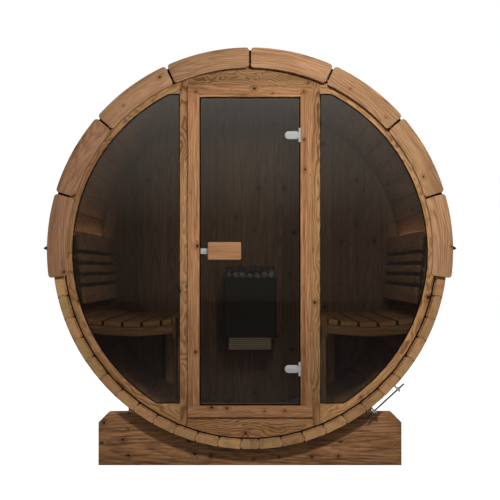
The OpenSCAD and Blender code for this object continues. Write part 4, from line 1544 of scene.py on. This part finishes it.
def make_stage():
    """A pale round floor, far wider than the object."""
    s = Shader("pale_floor")
    where = s.place()
    cloud = s.noise(where, 1.5, 2.0).outputs[0]
    shade = s.mix(s.spread(cloud, 0.3, 0.7), (0.2, 0.2, 0.2, 1), (0.19, 0.19, 0.19, 1))
    matt = s.node("ShaderNodeBsdfDiffuse", {"Color": shade}).outputs[0]
    lamp = s.node("ShaderNodeEmission", {"Color": (1, 1, 1, 1), "Strength": 0.985}).outputs[0]
    seen = s.node("ShaderNodeLightPath").outputs["Is Camera Ray"]
    dark = s.node("ShaderNodeEmission", {"Color": (1, 1, 1, 1), "Strength": 0.004}).outputs[0]
    extra = s.node("ShaderNodeMixShader", {0: seen, 1: dark, 2: lamp}).outputs[0]
    material = s.surface(s.node("ShaderNodeAddShader", {0: matt, 1: extra}).outputs[0])
    solid = bmesh.new()
    bmesh.ops.create_circle(solid, cap_ends=True, segments=96, radius=FLOOR_R)
    mesh = bpy.data.meshes.new("floor")
    solid.to_mesh(mesh)
    solid.free()
    mesh.materials.append(material)
    floor = bpy.data.objects.new("floor", mesh)
    bpy.context.scene.collection.objects.link(floor)


def make_world():
    """White behind the object. For light and reflections it is a dim room that gets
    brighter upwards, so that the glass is bright at its top and dark at its foot."""
    s = Shader("studio", "World")
    path = s.node("ShaderNodeLightPath").outputs
    up = s.parts(s.node("ShaderNodeTexCoord").outputs["Generated"])[2]
    level = s.ramp(s.math("MULTIPLY_ADD", up, 0.5, 0.5), ROOM_LEVELS)
    dim = s.math("MULTIPLY_ADD", path["Is Diffuse Ray"], WORLD_MATT - 1, 1)
    room = s.node("ShaderNodeBackground", {
        "Color": s.vector("MULTIPLY", level, ROOM_TINT), "Strength": dim}).outputs[0]
    white = s.node("ShaderNodeBackground", {"Color": (1, 1, 1, 1), "Strength": 1}).outputs[0]
    both = s.node("ShaderNodeMixShader", {0: path["Is Camera Ray"], 1: room, 2: white})
    bpy.context.scene.world = s.surface(both.outputs[0])


def add_light(name, place, target, size, power, tint=(1, 1, 1), seen=True, beam=180):
    """A rectangular lamp. seen says whether it shows in reflections."""
    data = bpy.data.lights.new(name, "AREA")
    data.shape = "RECTANGLE"
    data.spread = math.radians(beam)
    data.size, data.size_y = size
    data.energy = power
    data.color = tint
    made = bpy.data.objects.new(name, data)
    made.location = place
    direction = Vector(target) - Vector(place)
    made.rotation_euler = direction.to_track_quat("-Z", "Y").to_euler()
    made.visible_camera = False
    made.visible_glossy = seen
    bpy.context.scene.collection.objects.link(made)


def make_lights():
    """A small lamp in front, weak ones in the cabin and four large ones around."""
    add_light("key", (0.3, -2.4, 1.88), (0, -0.7, 1.0), (0.17, 0.17), 28.5,
              tint=(1, 0.99, 0.97), seen=False)
    add_light("cabin", (0.1, -0.05, 1.85), (0.1, 0, 0), (0.7, 0.9), 2.1,
              tint=CABIN_TINT, seen=False)
    add_light("cabin_front", (0, -0.5, 0.6), (0, 0.5, 0.38), (0.5, 0.3), 0.2,
              tint=CABIN_TINT, seen=False, beam=110)
    for name, side, _ in SIDES:
        add_light("floor_" + name, (side * 0.3, -0.5, 0.62), (side * 0.46, -0.42, 0.2),
                  (0.2, 0.15), 0.25, tint=(1, 0.96, 0.9), seen=False, beam=100)
    for name, place, target, power in (("right", (4.2, 1.7, 2.6), (0, 0.2, 1.1), 170),
                                       ("left", (-4.2, 1.7, 2.6), (0, 0.2, 1.1), 150),
                                       ("top", (0.3, 1.0, 5.2), (0, 0.2, 1.5), 130),
                                       ("back", (-1.2, 5.2, 2.8), (0, 0, 1.1), 190)):
        add_light(name, place, target, (2.5, 2.5), power)


def make_camera():
    """Level and square to the front, a little below the axis."""
    data = bpy.data.cameras.new("camera")
    data.sensor_width = 36
    data.lens = CAMERA_LENS
    data.shift_y = CAMERA_SHIFT_Y
    made = bpy.data.objects.new("camera", data)
    made.location = CAMERA_PLACE
    made.rotation_euler = (math.radians(90), 0, 0)
    bpy.context.scene.collection.objects.link(made)
    bpy.context.scene.camera = made


make_staves()
make_cradles()
make_bands()
make_wall_boards()
make_wall_joint_shades()
make_windows()
make_door_frame()
make_hinge_posts()
make_door()
make_rear_wall()
make_roof()
make_fascia()
make_benches()
make_backrests()
make_light_strips()
make_heater()
dress_cad_nodes()
make_stage()
make_world()
make_lights()
make_camera()
bpy.context.scene.view_settings.view_transform = "Standard"
